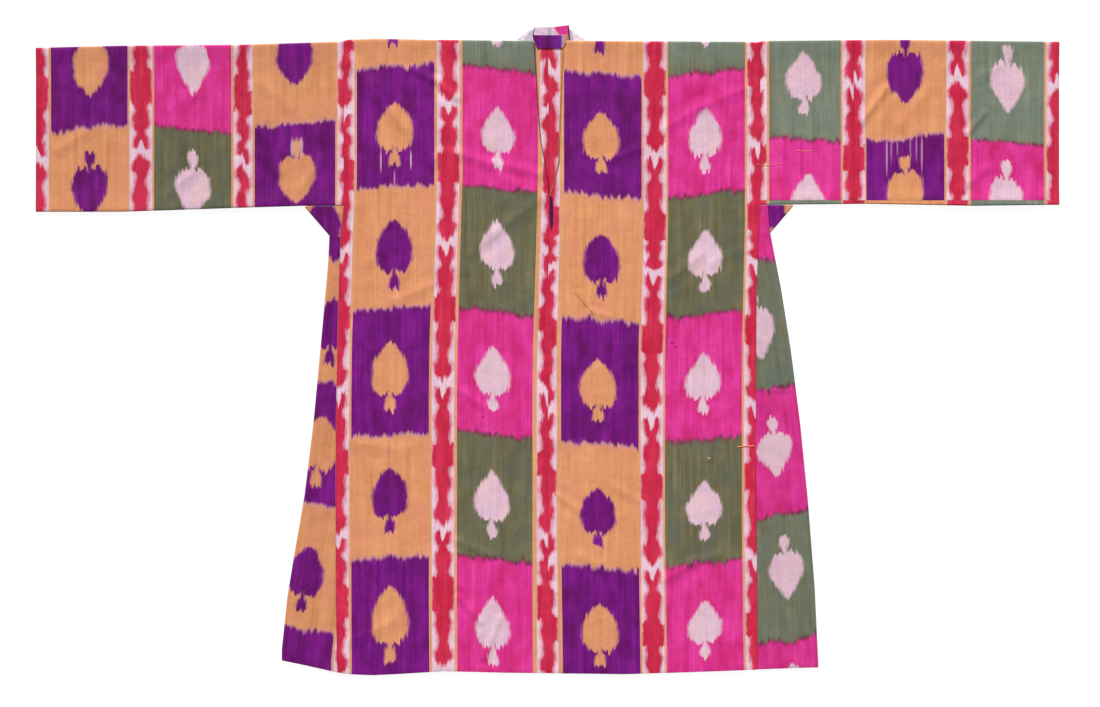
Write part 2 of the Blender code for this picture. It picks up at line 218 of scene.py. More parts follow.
def front_height(x, y):
    """Height of the front layer: flat cloth, rounded edges and creases."""
    reach = np.full(np.shape(x), 1.0)
    for line in FOLDED_EDGES:
        for start, end in zip(line, line[1:]):
            reach = np.minimum(reach, segment_distance(x, y, start, end))
    height = FRONT_HEIGHT + EDGE_LOFT * np.exp(-((reach / EDGE_LOFT_WIDTH) ** 2))
    for crease in CREASES:
        start = (across(crease.x1), up(crease.y1))
        end = (across(crease.x2), up(crease.y2))
        away = segment_distance(x, y, start, end) / (SIDE_REACH * crease.width * PIXEL)
        profile = np.exp(-away) - SIDE_DIP * np.exp(-((away - DIP_PLACE) ** 2))
        height = height + CREST * crease.height * profile
    return height


# The dye pattern's chart. A column holds cells one above the other, each with a leaf in it.
UPRIGHT_CELL = 124.0
SHOULDER_ROW = 41.0


def cells(first_number, rows, kind, tilt=0.0):
    return Column(kind, [Cell(*row) for row in rows], first_number, tilt)


LEFT_COLUMN_1 = cells(-1, (
    (-58, -22, 48, 393), (66, 103, 167, 395), (188, 219, 291, 394), (308.5, 342, 413, 390),
    (436, 467, 534, 390), (558, 586, 664, 390), (682, 712, 790, 390),
), PURPLE_GOLD, -0.065)
LEFT_COLUMN_2 = cells(-1, (
    (-55, -22, 48, 497), (69, 107, 169, 498), (189, 220, 286, 497), (312, 346, 412, 493),
    (434, 470, 538, 492), (560, 597, 665, 493), (684, 720, 790, 493),
), PINK_GREEN, 0.11)
RIGHT_COLUMN_1 = cells(-1, (
    (-51, -15, 55, 600), (73, 113, 175, 601), (197, 234, 299, 601), (320, 360, 423, 598),
    (445, 488, 548, 598), (566, 604, 668, 600), (690, 728, 790, 600),
), PURPLE_GOLD, 0.08)
RIGHT_COLUMN_2 = cells(-1, (
    (-51, -18, 47, 705), (73, 107, 173, 705), (195, 230, 292, 705), (314, 353, 415, 703),
    (440, 480, 541, 704), (562, 600, 658, 705), (686, 724, 786, 705),
), PINK_GREEN, -0.10)
LEFT_CUFF_COLUMN = cells(-1, ((253, 217, 150, 90), (129, 95, 27, 91)), PURPLE_GOLD, -0.11)
LEFT_MIDDLE_COLUMN = cells(-1, ((254, 219, 151, 193), (130, 95, 27, 193)), PINK_GREEN, 0.10)
LEFT_INNER_COLUMN = cells(0, ((248, 203, 139, 297), (124, 86, 18, 295)), PURPLE_GOLD, -0.11)
RIGHT_INNER_COLUMN = cells(-1, ((15, 51, 115, 803.5), (139.5, 174, 238, 808)), PINK_GREEN, 0.07)
RIGHT_MIDDLE_COLUMN = cells(0, ((262, 226, 154, 905), (138, 103, 36, 905)), PURPLE_GOLD, -0.075)
RIGHT_CUFF_COLUMN = cells(0, ((267, 233, 160, 1006), (143.3, 113, 44.5, 1007)), PINK_GREEN, 0.10)
LEFT_GORE_COLUMN = cells(0, (
    (136, 172, 238, 14.5), (260, 298, 366, 10.0), (382, 416, 488, 9.5), (505, 546, 612, 14.5),
    (628, 668, 735, 14.5),
), PURPLE_GOLD, 0.17)
RIGHT_GORE_COLUMN = cells(0, (
    (764, 726, 662, -25), (640, 599, 535, -27), (515, 476, 417, -28), (389, 360, 290, -30),
    (262, 230, 165, -30),
), PINK_GREEN, -0.2)
LEFT_GUSSET_COLUMN = cells(1, ((158, 198, 262, 324),), PURPLE_GOLD)
RIGHT_GUSSET_COLUMN = cells(0, ((104, 150, 214, 790),), PURPLE_GOLD)

# Stripes hold a chain of red links, each with one full stretch between two white breaks.
LINK_LENGTH = 141.0


def links(*rows, shift=0.0):
    return [Link(*(value + shift for value in row)) for row in rows]


LEFT_LINKS = ((-38, 14, 42), (102, 153.5, 182), (242, 297, 321), (381, 444, 466), (527, 577, 610))
RIGHT_LINKS = (
    (14, 72, 96), (153.5, 213, 240), (271, 325, 353), (413, 475, 499), (566, 622, 645),
)

# How far the warp leans sideways down the panels, by photo row.
LEAN_LEFT = ((41, 0.0), (180, 0.0), (350, -5.0), (400, -5.5), (600, -5.5), (672, -5.0))
LEAN_RIGHT = ((41, 0.0), (225, 0.0), (350, -3.0), (530, -3.0), (672, -1.0))

# Rough widths of the bands in pixels, which set how finely each is cut into columns.
PANEL_WIDTHS = (16.0, 77.0, 28.0, 77.0, 16.0)
GORE_FRONT_WIDTHS = {1: (56.0,), 2: (6.0, 50.0)}
GORE_BACK_WIDTHS = (12.0, 15.0, 12.0)

# How far the back's warp lies from the front's, in pixels.
LEFT_BACK_SHIFT, RIGHT_BACK_SHIFT = -2.4, 0.4

LEFT_BANDS = (
    Band(None, 357.0, links(*LEFT_LINKS, shift=8.0), 343.5),
    Band(357.0, 434.5, LEFT_COLUMN_1, None),
    Band(434.5, 462.5, links(*LEFT_LINKS), 448.5),
    Band(462.5, 538.0, LEFT_COLUMN_2, None),
    Band(538.0, None, links(*LEFT_LINKS, shift=9.0), 553.5),
)
RIGHT_BANDS = (
    Band(None, 564.0, links(*RIGHT_LINKS, shift=-5.0), 548.5),
    Band(564.0, 641.5, RIGHT_COLUMN_1, None),
    Band(641.5, 668.0, links(*RIGHT_LINKS), 654.8),
    Band(668.0, 744.7, RIGHT_COLUMN_2, None),
    Band(744.7, None, links(*RIGHT_LINKS, shift=-10.0), 758.2),
)
LEFT_CUFF_BANDS = (
    Band(None, 51.5, links((161, 110, 77)), 38.0),
    Band(51.5, 128.0, LEFT_CUFF_COLUMN, None),
    Band(128.0, 154.5, links((153, 104, 70.5)), 141.3),
    Band(154.5, 231.5, LEFT_MIDDLE_COLUMN, None),
    Band(231.5, None, links((160, 110, 76)), 245.0),
)
LEFT_INNER_BANDS = (
    Band(None, 255.0, links((168, 114, 91)), 241.5),
    Band(255.0, 335.5, LEFT_INNER_COLUMN, None),
    Band(335.5, None, links((162, 104, 79)), 349.0),
)
RIGHT_INNER_BANDS = (
    Band(None, 769.0, links((86, 146, 164)), 755.5),
    Band(769.0, 840.5, RIGHT_INNER_COLUMN, None),
    Band(840.5, None, links((84, 146, 170)), 853.5),
)
RIGHT_CUFF_BANDS = (
    Band(None, 866.0, links((225, 170, 146)), 853.5),
    Band(866.0, 944.0, RIGHT_MIDDLE_COLUMN, None),
    Band(944.0, 970.5, links((221, 166, 138)), 957.2),
    Band(970.5, 1043.5, RIGHT_CUFF_COLUMN, None),
    Band(1043.5, None, links((229, 172, 148)), 1057.0),
)

# On a gore the bands are counted in pixels in from its folded outer edge, front and then back.
LEFT_GORE_FRONT = (
    Band(None, 50.5, links(*LEFT_LINKS), 64.0), Band(50.5, None, LEFT_GORE_COLUMN, None),
)
LEFT_GORE_BACK = (
    Band(None, 23.0, LEFT_GORE_COLUMN, None), Band(23.0, 50.0, links(*LEFT_LINKS), -36.5),
    Band(50.0, None, LEFT_COLUMN_2, None),
)
RIGHT_GORE_FRONT = (Band(None, None, RIGHT_GORE_COLUMN, None),)
RIGHT_GORE_BACK = (
    Band(None, 10.0, RIGHT_GORE_COLUMN, None), Band(10.0, 37.0, links(*RIGHT_LINKS), 23.5),
    Band(37.0, None, RIGHT_COLUMN_1, None),
)
LEFT_GUSSET_BANDS = (Band(None, None, LEFT_GUSSET_COLUMN, None),)
RIGHT_GUSSET_BANDS = (Band(None, None, RIGHT_GUSSET_COLUMN, None),)

# A leaf from its tip at 0 to the end of its bulb at 1: half its width, notches beside the stem, the stem.
LEAF_START = 0.30
LEAF_END = 0.82
LEAF_WIDTH = 20.0
ROUND_LEAF = (
    (0.0, 0.0), (0.02, 2.4), (0.05, 5.0), (0.09, 7.4), (0.14, 10.4), (0.20, 13.4), (0.27, 15.8),
    (0.34, 17.2), (0.42, 17.9), (0.54, 17.8), (0.61, 16.8), (0.66, 14.8), (0.70, 12.4), (0.735, 9.4),
    (0.76, 5.0), (0.765, 0.0), (1.0, 0.0),
)
PEAR_LEAF = (
    (0.0, 0.0), (0.03, 2.2), (0.08, 4.6), (0.13, 6.8), (0.18, 9.0), (0.23, 11.2), (0.28, 13.4),
    (0.34, 15.8), (0.40, 17.2), (0.47, 17.8), (0.55, 17.5), (0.61, 16.2), (0.66, 13.8), (0.70, 11.2),
    (0.735, 8.4), (0.755, 5.0), (0.765, 0.0), (1.0, 0.0),
)
NOTCH = (
    (0.0, 0.0), (0.675, 0.0), (0.69, 2.0), (0.71, 3.0), (0.74, 5.0), (0.76, 8.0), (0.77, 9.0), (1.0, 9.0),
)
SQUARE_STEM = (
    (0.0, 0.0), (0.55, 0.0), (0.62, 1.7), (0.76, 1.9), (0.79, 2.6), (0.81, 4.4), (0.86, 4.9),
    (0.92, 5.4), (0.965, 5.2), (0.985, 3.6), (1.0, 0.0),
)
DROP_STEM = (
    (0.0, 0.0), (0.55, 0.0), (0.62, 1.7), (0.75, 2.0), (0.79, 2.8), (0.83, 4.2), (0.88, 5.4),
    (0.93, 5.2), (0.97, 3.6), (0.99, 1.2), (1.0, 0.0),
)

# A link of a stripe from one white break to the next: half the red's width and the gap of its fork.
LINK_WIDTH = 14.0
LINK_RED = (
    (0.0, 0.0), (0.02, 3.0), (0.04, 7.8), (0.09, 8.2), (0.13, 7.0), (0.155, 4.6), (0.185, 5.0),
    (0.22, 8.4), (0.28, 8.6), (0.33, 7.2), (0.365, 6.0), (0.40, 7.4), (0.415, 11.4), (0.575, 11.4),
    (0.59, 7.4), (0.63, 6.8), (0.67, 8.6), (0.71, 8.2), (0.77, 5.6), (0.82, 5.0), (0.86, 7.0),
    (0.88, 9.4), (0.93, 9.0), (0.97, 3.6), (1.0, 0.0),
)
LINK_FORK = ((0.0, 5.0), (0.03, 4.6), (0.09, 2.4), (0.125, 0.0), (1.0, 0.0))


def knots(column):
    """Photo rows against the cell coordinate, whose whole numbers are cells, both ways along the warp."""
    first, last = column.cells[0], column.cells[-1]
    step = UPRIGHT_CELL if first.tip > first.start else -UPRIGHT_CELL
    rows = []
    for place in range(-7, len(column.cells) + 7):
        beyond = place if place < 0 else max(0, place - len(column.cells) + 1)
        source = first if place < 0 else column.cells[min(place, len(column.cells) - 1)]
        by = step * beyond
        number = column.first + place
        rows.append((source.start + by, number, source.centre))
        rows.append((source.tip + by, number + LEAF_START, source.centre))
        rows.append((source.end + by, number + LEAF_END, source.centre))
    return np.array(sorted(rows))


def link_knots(chain):
    """Photo rows against the link coordinate, whose whole numbers are white breaks."""
    rows = []
    step = LINK_LENGTH if chain[0].full_start > chain[0].top else -LINK_LENGTH
    for place in range(-6, len(chain) + 6):
        beyond = place if place < 0 else max(0, place - len(chain) + 1)
        source = chain[min(max(place, 0), len(chain) - 1)]
        by = step * beyond
        rows.append((source.top + by, place))
        rows.append((source.full_start + by, place + 0.41))
        rows.append((source.full_end + by, place + 0.58))
    return np.array(sorted(rows))


def charted(band, px, row, lean, number):
    """What the dye nodes read at points of a band: place across it, place along it, its number."""
    if band.anchor is None:
        table = knots(band.chart)
        offset = px - np.interp(row, table[:, 0], table[:, 2])
        along = np.interp(row - band.chart.tilt * offset, table[:, 0], table[:, 1])
    else:
        table = link_knots(band.chart)
        offset = px - lean - band.anchor
        along = np.interp(row, table[:, 0], table[:, 1])
    return np.stack([offset, along, np.full(px.shape, float(number))], axis=-1)


def band_kind(band):
    return STRIPE if band.anchor is not None else band.chart.kind


def ordered(lines):
    """Lines of a piece kept in order between its first and its last, a hair apart."""
    last = len(lines) - 1
    return [
        np.clip(line, lines[0] + 0.2 * place, lines[last] - 0.2 * (last - place))
        for place, line in enumerate(lines)
    ]


def columns_between(lines, bands, widths):
    """The columns of a piece and the span of each band in them, from its lines in pixels."""
    columns = [lines[0]]
    spans = []
    for place, band in enumerate(bands):
        count = max(1, math.ceil(widths[place] * PIXEL / FINE))
        shares = np.linspace(0.0, 1.0, count + 1)[1:]
        first = len(columns) - 1
        columns += [lines[place] + (lines[place + 1] - lines[place]) * share for share in shares]
        spans.append(Span(band, first, len(columns) - 1))
    return np.stack(columns, axis=-1), spans


def seam_ease(edge):
    """How a seam pulls the cloth down beside it."""
    return -0.0004 * np.exp(-((edge * PIXEL / 0.0040) ** 2))


def waves(x, y):
    """The low unevenness of cloth that lies loose, never below its flat height."""
    broad = np.sin(31.0 * x + 9.0 * y) * np.sin(23.0 * y - 7.0 * x + 1.3)
    long_folds = np.sin(74.0 * x + 5.0 * np.sin(6.0 * y)) * np.sin(8.0 * y + 11.0 * x + 0.6)
    ripples = np.sin(152.0 * x + 31.0 * y) * np.sin(57.0 * y - 43.0 * x)
    return 0.0004 * (broad + 1.0) + 0.0003 * (long_folds + 1.0) + 0.00012 * (ripples + 1.0)


def puckers(edge, along):
    """Small ripples that a hand-sewn seam leaves beside it."""
    ripple = np.sin(along / 0.0047 + 2.0 * np.sin(along / 0.031))
    return 0.00022 * (1.0 + ripple) * np.exp(-((edge * PIXEL / 0.010) ** 2))


def lifted(x, y, edge):
    """Height of the front layer with its waves and seams too."""
    return front_height(x, y) + waves(x, y) + seam_ease(edge) + puckers(edge, y + 0.4 * x)


def arc(front, back, outward):
    """Points of a folded edge from a front row to a back row."""
    centre = (front + back) / 2
    half = (front - back) / 2
    angles = [math.pi * step / FOLD_STEPS for step in range(1, FOLD_STEPS)]
    return [centre + half * math.cos(a) + outward * FOLD_REACH * math.sin(a) for a in angles]


def turn_rows(front_row, back_row):
    """The photo rows that the warp passes on its way round a fold."""
    steps = [(1 - math.cos(math.pi * step / FOLD_STEPS)) / 2 for step in range(1, FOLD_STEPS)]
    return [front_row + (back_row - front_row) * step for step in steps]


def four_corners(values):
    return np.stack([values[:-1, :-1], values[:-1, 1:], values[1:, 1:], values[1:, :-1]], axis=2)


def cloth_piece(name, points, px, row, edge, lean, spans, materials):
    """A thin shell of cloth through a grid of points, with what its dye needs on it."""
    count, width = px.shape
    index = np.arange(count * width).reshape(count, width)
    faces = four_corners(index).reshape(-1, 4)
    strip = np.zeros((count - 1, width - 1, 4, 3))
    kinds = np.zeros((count - 1, width - 1), dtype=int)
    for number, span in enumerate(spans):
        inside = slice(span.first, span.last + 1)
        values = charted(span.band, px[:, inside], row[:, inside], lean[:, inside], number)
        strip[:, span.first:span.last] = four_corners(values)
        kinds[:, span.first:span.last] = band_kind(span.band)
    mesh = bpy.data.meshes.new(name)
    mesh.from_pydata(points.reshape(-1, 3).tolist(), [], faces.tolist())
    mesh.attributes.new("strip", "FLOAT_VECTOR", "CORNER").data.foreach_set("vector", strip.ravel())
    weave = np.stack([px, row, edge], axis=-1)
    mesh.attributes.new("weave", "FLOAT_VECTOR", "POINT").data.foreach_set("vector", weave.ravel())
    for material in materials:
        mesh.materials.append(material)
    mesh.polygons.foreach_set("material_index", kinds.ravel())
    sharp_edged(mesh)
    return thickened(placed(name + SHELL, mesh), CLOTH)


def sharp_edged(mesh):
    """Smooth shading, but not round the cut edges of the cloth."""
    mesh.shade_smooth()
    shape = bmesh.new()
    shape.from_mesh(mesh)
    for edge in shape.edges:
        edge.smooth = not edge.is_boundary
    shape.to_mesh(mesh)
    shape.free()


def placed(name, data):
    piece = bpy.data.objects.new(name, data)
    bpy.context.scene.collection.objects.link(piece)
    return piece


def thickened(piece, thickness):
    wall = piece.modifiers.new("Wall", "SOLIDIFY")
    wall.thickness = thickness
    wall.offset = 0.0
    return piece


def panel_lines(bands, left, right, lean, levels):
    """A panel's edges and band lines in pixels, at levels in metres."""
    lean_at = np.interp(ORIGIN_Y - levels / PIXEL, *np.array(lean).T)
    lines = [read(left, levels) / PIXEL + ORIGIN_X]
    lines += [band.right + lean_at for band in bands[:-1]]
    lines += [read(right, levels) / PIXEL + ORIGIN_X]
    return ordered(lines)


def panel_grid(bands, left, right, lean, count):
    """Pixels across and levels of one layer of a panel, hem to shoulder."""
    shares = np.linspace(0.0, 1.0, count)
    levels = HEM_LEVEL + shares * (SHOULDER_LEVEL - HEM_LEVEL)
    for _ in range(2):
        lines = panel_lines(bands, left, right, lean, levels)
        px, spans = columns_between(lines, bands, PANEL_WIDTHS)
        x = across(px)
        hem = read(HEM, x)
        top = read(SHOULDER_LEFT + SHOULDER_RIGHT, x) - EDGE_INSET
        y = hem + shares[:, None] * (top - hem)
    inner = np.minimum(px - px[:, :1], px[:, -1:] - px)
    edge = np.minimum(inner, (y - hem) / PIXEL)
    return px, x, y, edge, spans


def body_panel(name, bands, front_edges, back_edges, lean, materials):
    """A loom width from the front hem over the shoulder to the back hem."""
    px, x, y, edge, spans = panel_grid(bands, *front_edges, lean, math.ceil(PANEL_LENGTH / FINE))
    front = np.stack([x, y, lifted(x, y, edge)], axis=-1)
    back_shift = RIGHT_BACK_SHIFT if name.startswith("right") else LEFT_BACK_SHIFT
    back_lean = [(row, by + back_shift) for row, by in lean]
    back_px, back_x, back_y, back_edge, _ = panel_grid(
        bands, *back_edges, back_lean, math.ceil(PANEL_LENGTH / COARSE)
    )
    back = np.stack([back_x, back_y, np.full(back_x.shape, BACK_HEIGHT)], axis=-1)[::-1]
    fold = arc(front[-1], back[0], np.array((0.0, 1.0, 0.0)))
    front_row = ORIGIN_Y - y / PIXEL
    back_row = (2 * SHOULDER_ROW - (ORIGIN_Y - back_y / PIXEL))[::-1]
    turns = turn_rows(front_row[-1], back_row[0])
    around = len(fold)
    points = np.concatenate([front, np.stack(fold), back])
    px_all = np.concatenate([px, np.repeat(px[-1:], around, axis=0), back_px[::-1]])
    row = np.concatenate([front_row, np.stack(turns), back_row])
    edges = np.concatenate([edge, np.repeat(edge[-1:], around, axis=0), back_edge[::-1]])
    seen_row = np.where(row < SHOULDER_ROW, 2 * SHOULDER_ROW - row, row)
    lean_all = np.interp(seen_row, *np.array(lean).T) + np.where(row < SHOULDER_ROW, back_shift, 0.0)
    return cloth_piece(name, points, px_all, row, edges, lean_all, spans, materials)


def sleeve(name, low, high, underarm, shoulder, bands, seam_row, materials):
    """A flattened tube. Its seam runs along a photo row of the front, or behind its lower edge."""
    lines = [np.array([low / PIXEL + ORIGIN_X])]
    lines += [np.array([band.right]) for band in bands[:-1]]
    lines += [np.array([high / PIXEL + ORIGIN_X])]
    widths = [float(b[0] - a[0]) for a, b in zip(lines, lines[1:])]
    px, spans = columns_between(lines, bands, widths)
    px = px[0]
    x = across(px)
    edge = np.minimum(px - px[0], px[-1] - px)
    bottom = read(underarm, x) + EDGE_INSET
    top = read(shoulder, x) - EDGE_INSET
    front_shares = np.linspace(0.0, 1.0, math.ceil(SLEEVE_DEPTH / FINE))[:, None]
    back_shares = np.linspace(1.0, 0.0, math.ceil(SLEEVE_DEPTH / COARSE))[:, None]
    y = bottom + front_shares * (top - bottom)
    if seam_row:
        above = up(seam_row) + 0.0001
        turned_up = bottom + np.linspace(0.0, 1.0, 4)[:, None] * (above - 0.0002 - bottom)
        y = np.concatenate([turned_up, above + front_shares * (top - above)])
    back_y = bottom + back_shares * (top - bottom)
    wide_x = np.repeat(x[None], len(y), axis=0)
    front_row = ORIGIN_Y - y / PIXEL
    front_edge = np.broadcast_to(edge, y.shape)
    if seam_row:
        front_edge = np.minimum(front_edge, np.abs(front_row - seam_row))
        beyond = 2 * SHOULDER_ROW - 2 * front_row[0] + front_row
        front_row = np.where(front_row > seam_row, beyond, front_row)
    front = np.stack([wide_x, y, lifted(wide_x, y, front_edge)], axis=-1)
    back_x = np.repeat(x[None], len(back_y), axis=0)
    back = np.stack([back_x, back_y, np.full(back_y.shape, BACK_HEIGHT)], axis=-1)
    up_way = np.array((0.0, 1.0, 0.0))
    top_fold = arc(front[-1], back[0], up_way)
    low_fold = arc(front[0], back[-1], -up_way)[::-1]
    back_row = 2 * SHOULDER_ROW - (ORIGIN_Y - back_y / PIXEL)
    low_turns = turn_rows(front_row[0] + 3.5, front_row[0])
    points = np.concatenate([np.stack(low_fold), front, np.stack(top_fold), back])
    row = np.concatenate([
        np.stack(low_turns), front_row, np.stack(turn_rows(front_row[-1], back_row[0])), back_row,
    ])
    shape = row.shape
    px_all = np.broadcast_to(px, shape)
    edges = np.broadcast_to(edge, shape).copy()
    edges[len(low_fold):len(low_fold) + len(y)] = front_edge
    return cloth_piece(name, points, px_all, row, edges, np.zeros(shape), spans, materials)


def gore(name, side, seam, outer_edge, top, front_bands, back_bands, materials):
    """A flared side piece, folded at its outer edge. Pixels across are counted in from that edge."""
    shares = np.linspace(0.0, 1.0, math.ceil((top - HEM_LEVEL) / FINE))
    levels = HEM_LEVEL + shares * (top - HEM_LEVEL)
    inner_x = read(seam, levels)
    outer_x = read(outer_edge, levels)
    inner_hem = read(HEM, inner_x)
    outer_hem = read(HEM, outer_x)
    inner = np.stack([inner_x, inner_hem + shares * (top - inner_hem)], axis=-1)
    outer = np.stack([outer_x, outer_hem + shares * (top - outer_hem)], axis=-1)
    reach = outer - inner
    full = np.hypot(reach[:, 0], reach[:, 1])
    outward = reach / full[:, None]
    wide = full / PIXEL
    rim = np.full(wide.shape, EDGE_INSET / PIXEL)
    front_lines = ordered([-wide, *[-(band.right + 0 * wide) for band in front_bands[:-1]], -rim])
    back_lines = ordered([rim, *[band.right + 0 * wide for band in back_bands[:-1]], wide])
    front_widths = GORE_FRONT_WIDTHS[len(front_bands)]
    front_in, front_spans = columns_between(front_lines, front_bands, front_widths)
    back_in, back_spans = columns_between(back_lines, back_bands, GORE_BACK_WIDTHS)

    def spot(distance):
        return outer[:, None] - outward[:, None] * (np.abs(distance) * PIXEL)[..., None]

    front_xy, back_xy = spot(front_in), spot(back_in)
    seam_away = wide[:, None] + front_in
    hem_away = (front_xy[..., 1] - read(HEM, front_xy[..., 0])) / PIXEL
    front_edge = np.minimum(seam_away, hem_away)
    height = lifted(front_xy[..., 0], front_xy[..., 1], front_edge)
    front = np.concatenate([front_xy, height[..., None]], axis=-1)
    back = np.concatenate([back_xy, np.full((*back_in.shape, 1), BACK_HEIGHT)], axis=-1)
    outward_3d = np.concatenate([outward, np.zeros((len(outward), 1))], axis=-1)
    fold = np.stack(arc(front[:, -1], back[:, 0], outward_3d), axis=1)
    turns = np.linspace(-1.0, 1.0, FOLD_STEPS + 1)[1:-1] * rim[0]
    points = np.concatenate([front, fold, back], axis=1)
    inward = np.concatenate([front_in, np.broadcast_to(turns, (len(wide), len(turns))), back_in], axis=1)
    px = side * inward
    row = ORIGIN_Y - points[..., 1] / PIXEL
    back_edge = wide[:, None] - back_in
    fold_edge = np.repeat(front_edge[:, -1:], len(turns), axis=1)
    edges = np.concatenate([front_edge, fold_edge, back_edge], axis=1)
    after = front_in.shape[1] + len(turns)
    spans = front_spans[:-1]
    spans.append(Span(front_spans[-1].band, front_spans[-1].first, after))
    spans += [Span(span.band, span.first + after, span.last + after) for span in back_spans]
    return cloth_piece(name, points, px, row, edges, np.zeros(px.shape), spans, materials)


def gusset(name, tip, foot, corner_x, side_line, bands, materials):
    """A square folded into a triangle between the sleeve, the panel and the gore."""
    tip, foot = np.array(tip), np.array(foot)
    corner = np.array((corner_x, tip[1]))
    along_sleeve = corner + np.linspace(0.90, 0.0, 7)[:, None] * (tip - corner)
    down = corner[1] + np.linspace(0.0, 1.0, 8)[1:] * (foot[1] - corner[1])
    down_side = np.stack([read(side_line, down), down], axis=-1)
    inner = np.concatenate([along_sleeve, down_side])
    outer = tip + np.linspace(0.03, 1.0, len(inner))[:, None] * (foot - tip)
    reach = outer - inner
    outward = reach / np.hypot(reach[:, 0], reach[:, 1])[:, None]
    rim = outer - outward * EDGE_INSET
    shares = np.linspace(0.0, 1.0, 9)[None, :, None]
    front_xy = inner[:, None] + shares * (rim - inner)[:, None]
    back_xy = front_xy[:, ::-1]
    edge = np.broadcast_to(shares[..., 0] * GUSSET_EDGE, front_xy.shape[:2])
    height = lifted(front_xy[..., 0], front_xy[..., 1], edge)
    front = np.concatenate([front_xy, height[..., None]], axis=-1)
    back = np.concatenate([back_xy, np.full((*back_xy.shape[:2], 1), BACK_HEIGHT)], axis=-1)
    outward_3d = np.concatenate([outward, np.zeros((len(outward), 1))], axis=-1)
    fold = np.stack(arc(front[:, -1], back[:, 0], outward_3d), axis=1)
    points = np.concatenate([front, fold, back], axis=1)
    px = points[..., 0] / PIXEL + ORIGIN_X
    row = ORIGIN_Y - points[..., 1] / PIXEL
    fold_edge = np.full(fold.shape[:2], GUSSET_EDGE)
    edges = np.concatenate([edge, fold_edge, edge[:, ::-1]], axis=1)
    spans = [Span(bands[0], 0, px.shape[1] - 1)]
    return cloth_piece(name, points, px, row, edges, np.zeros(px.shape), spans, materials)


def dye(red, green, blue):
    """A colour from its screen values of 0 to 255."""
    shares = [value / 255 for value in (red, green, blue)]
    return (*[s / 12.92 if s <= 0.04045 else ((s + 0.055) / 1.055) ** 2.4 for s in shares], 1.0)


# Each dye as its darkest and lightest threads, and the tone that it has faded or run to in patches. Two
# sets, a darkened gold and a grey, are painted shade and no dye.
PURPLE = (dye(84, 6, 94), dye(142, 26, 146), dye(92, 8, 86))
GOLD = (dye(202, 126, 80), dye(230, 164, 116), dye(218, 141, 108))
PINK = (dye(194, 30, 122), dye(236, 70, 162), dye(200, 34, 106))
GREEN = (dye(84, 80, 55), dye(126, 121, 91), dye(95, 99, 84))
GREY_GREEN = (dye(98, 112, 96), dye(144, 148, 132), dye(116, 134, 124))
PALE = (dye(208, 166, 186), dye(228, 196, 212), dye(224, 186, 190))
WHITE = (dye(214, 168, 190), dye(240, 212, 226), dye(226, 190, 206))
RED = (dye(176, 18, 54), dye(222, 58, 90), dye(192, 30, 62))
HAIRLINE = (dye(198, 132, 84), dye(228, 170, 124), dye(220, 150, 116))
TOOTH = (dye(178, 112, 138), dye(214, 160, 178), dye(200, 140, 150))
PLUM = (dye(88, 26, 58), dye(136, 56, 84), dye(100, 40, 60))
LILAC = (dye(196, 174, 196), dye(224, 208, 224), dye(210, 186, 202))
VIOLET = (dye(92, 20, 132), dye(132, 48, 172), dye(100, 24, 142))
PALE_LILAC = (dye(212, 198, 212), dye(240, 232, 242), dye(226, 214, 226))
# Gold in painted shade: the gold hairline where it turns over the slit's right edge and at the facing's
# right end.
GOLD_IN_PAINTED_SHADE = (dye(146, 92, 54), dye(196, 138, 88), dye(168, 106, 68))
# Painted shade: a grey laid over the pale collar cloth where its folds and centre back seam lie in shadow.
PAINTED_SHADE_GREY = (dye(120, 100, 120), dye(164, 146, 164), dye(140, 118, 136))
ORANGE = (dye(230, 112, 84), dye(246, 146, 104), dye(240, 128, 96))
BROWN = (dye(104, 58, 44), dye(146, 88, 62), dye(120, 64, 60))
DARK_THREAD = (dye(48, 10, 56), dye(84, 26, 92), dye(60, 16, 60))


# Small stains, and pale streaks where the binding slipped.
Mark = namedtuple("Mark", "px row half_width half_length tone strength")
MARKS = tuple(Mark(*row) for row in (
    (672, 343, 1.7, 1.5, DARK_THREAD[1], 0.7), (675, 347, 1.4, 1.2, DARK_THREAD[1], 0.7),
    (483, 417, 1.5, 1.4, DARK_THREAD[1], 0.6), (517, 535, 1.2, 1.2, DARK_THREAD[1], 0.5),
    (709, 458, 1.6, 1.0, GOLD[1], 0.8), (381, 161, 0.8, 11.0, TOOTH[1], 0.8),
    (411, 160, 0.9, 9.0, PALE[0], 0.85), (394.5, 180, 0.8, 9.0, TOOTH[1], 0.55),
    (389, 450, 0.8, 9.0, TOOTH[0], 0.5), (886.5, 155, 0.9, 20.0, TOOTH[1], 0.65),
    (921.5, 153, 0.9, 18.0, TOOTH[1], 0.65), (891, 147, 0.7, 14.0, TOOTH[1], 0.45),
    (916, 147, 0.7, 14.0, TOOTH[1], 0.45), (897, 145, 0.7, 11.0, TOOTH[1], 0.45),
    (910, 145, 0.7, 11.0, TOOTH[1], 0.45), (297, 148, 2.8, 9.5, GOLD[1], 0.6),
    (292.5, 148, 1.6, 9.5, PALE[0], 0.7), (301.5, 148, 1.6, 9.5, PALE[0], 0.7),
))


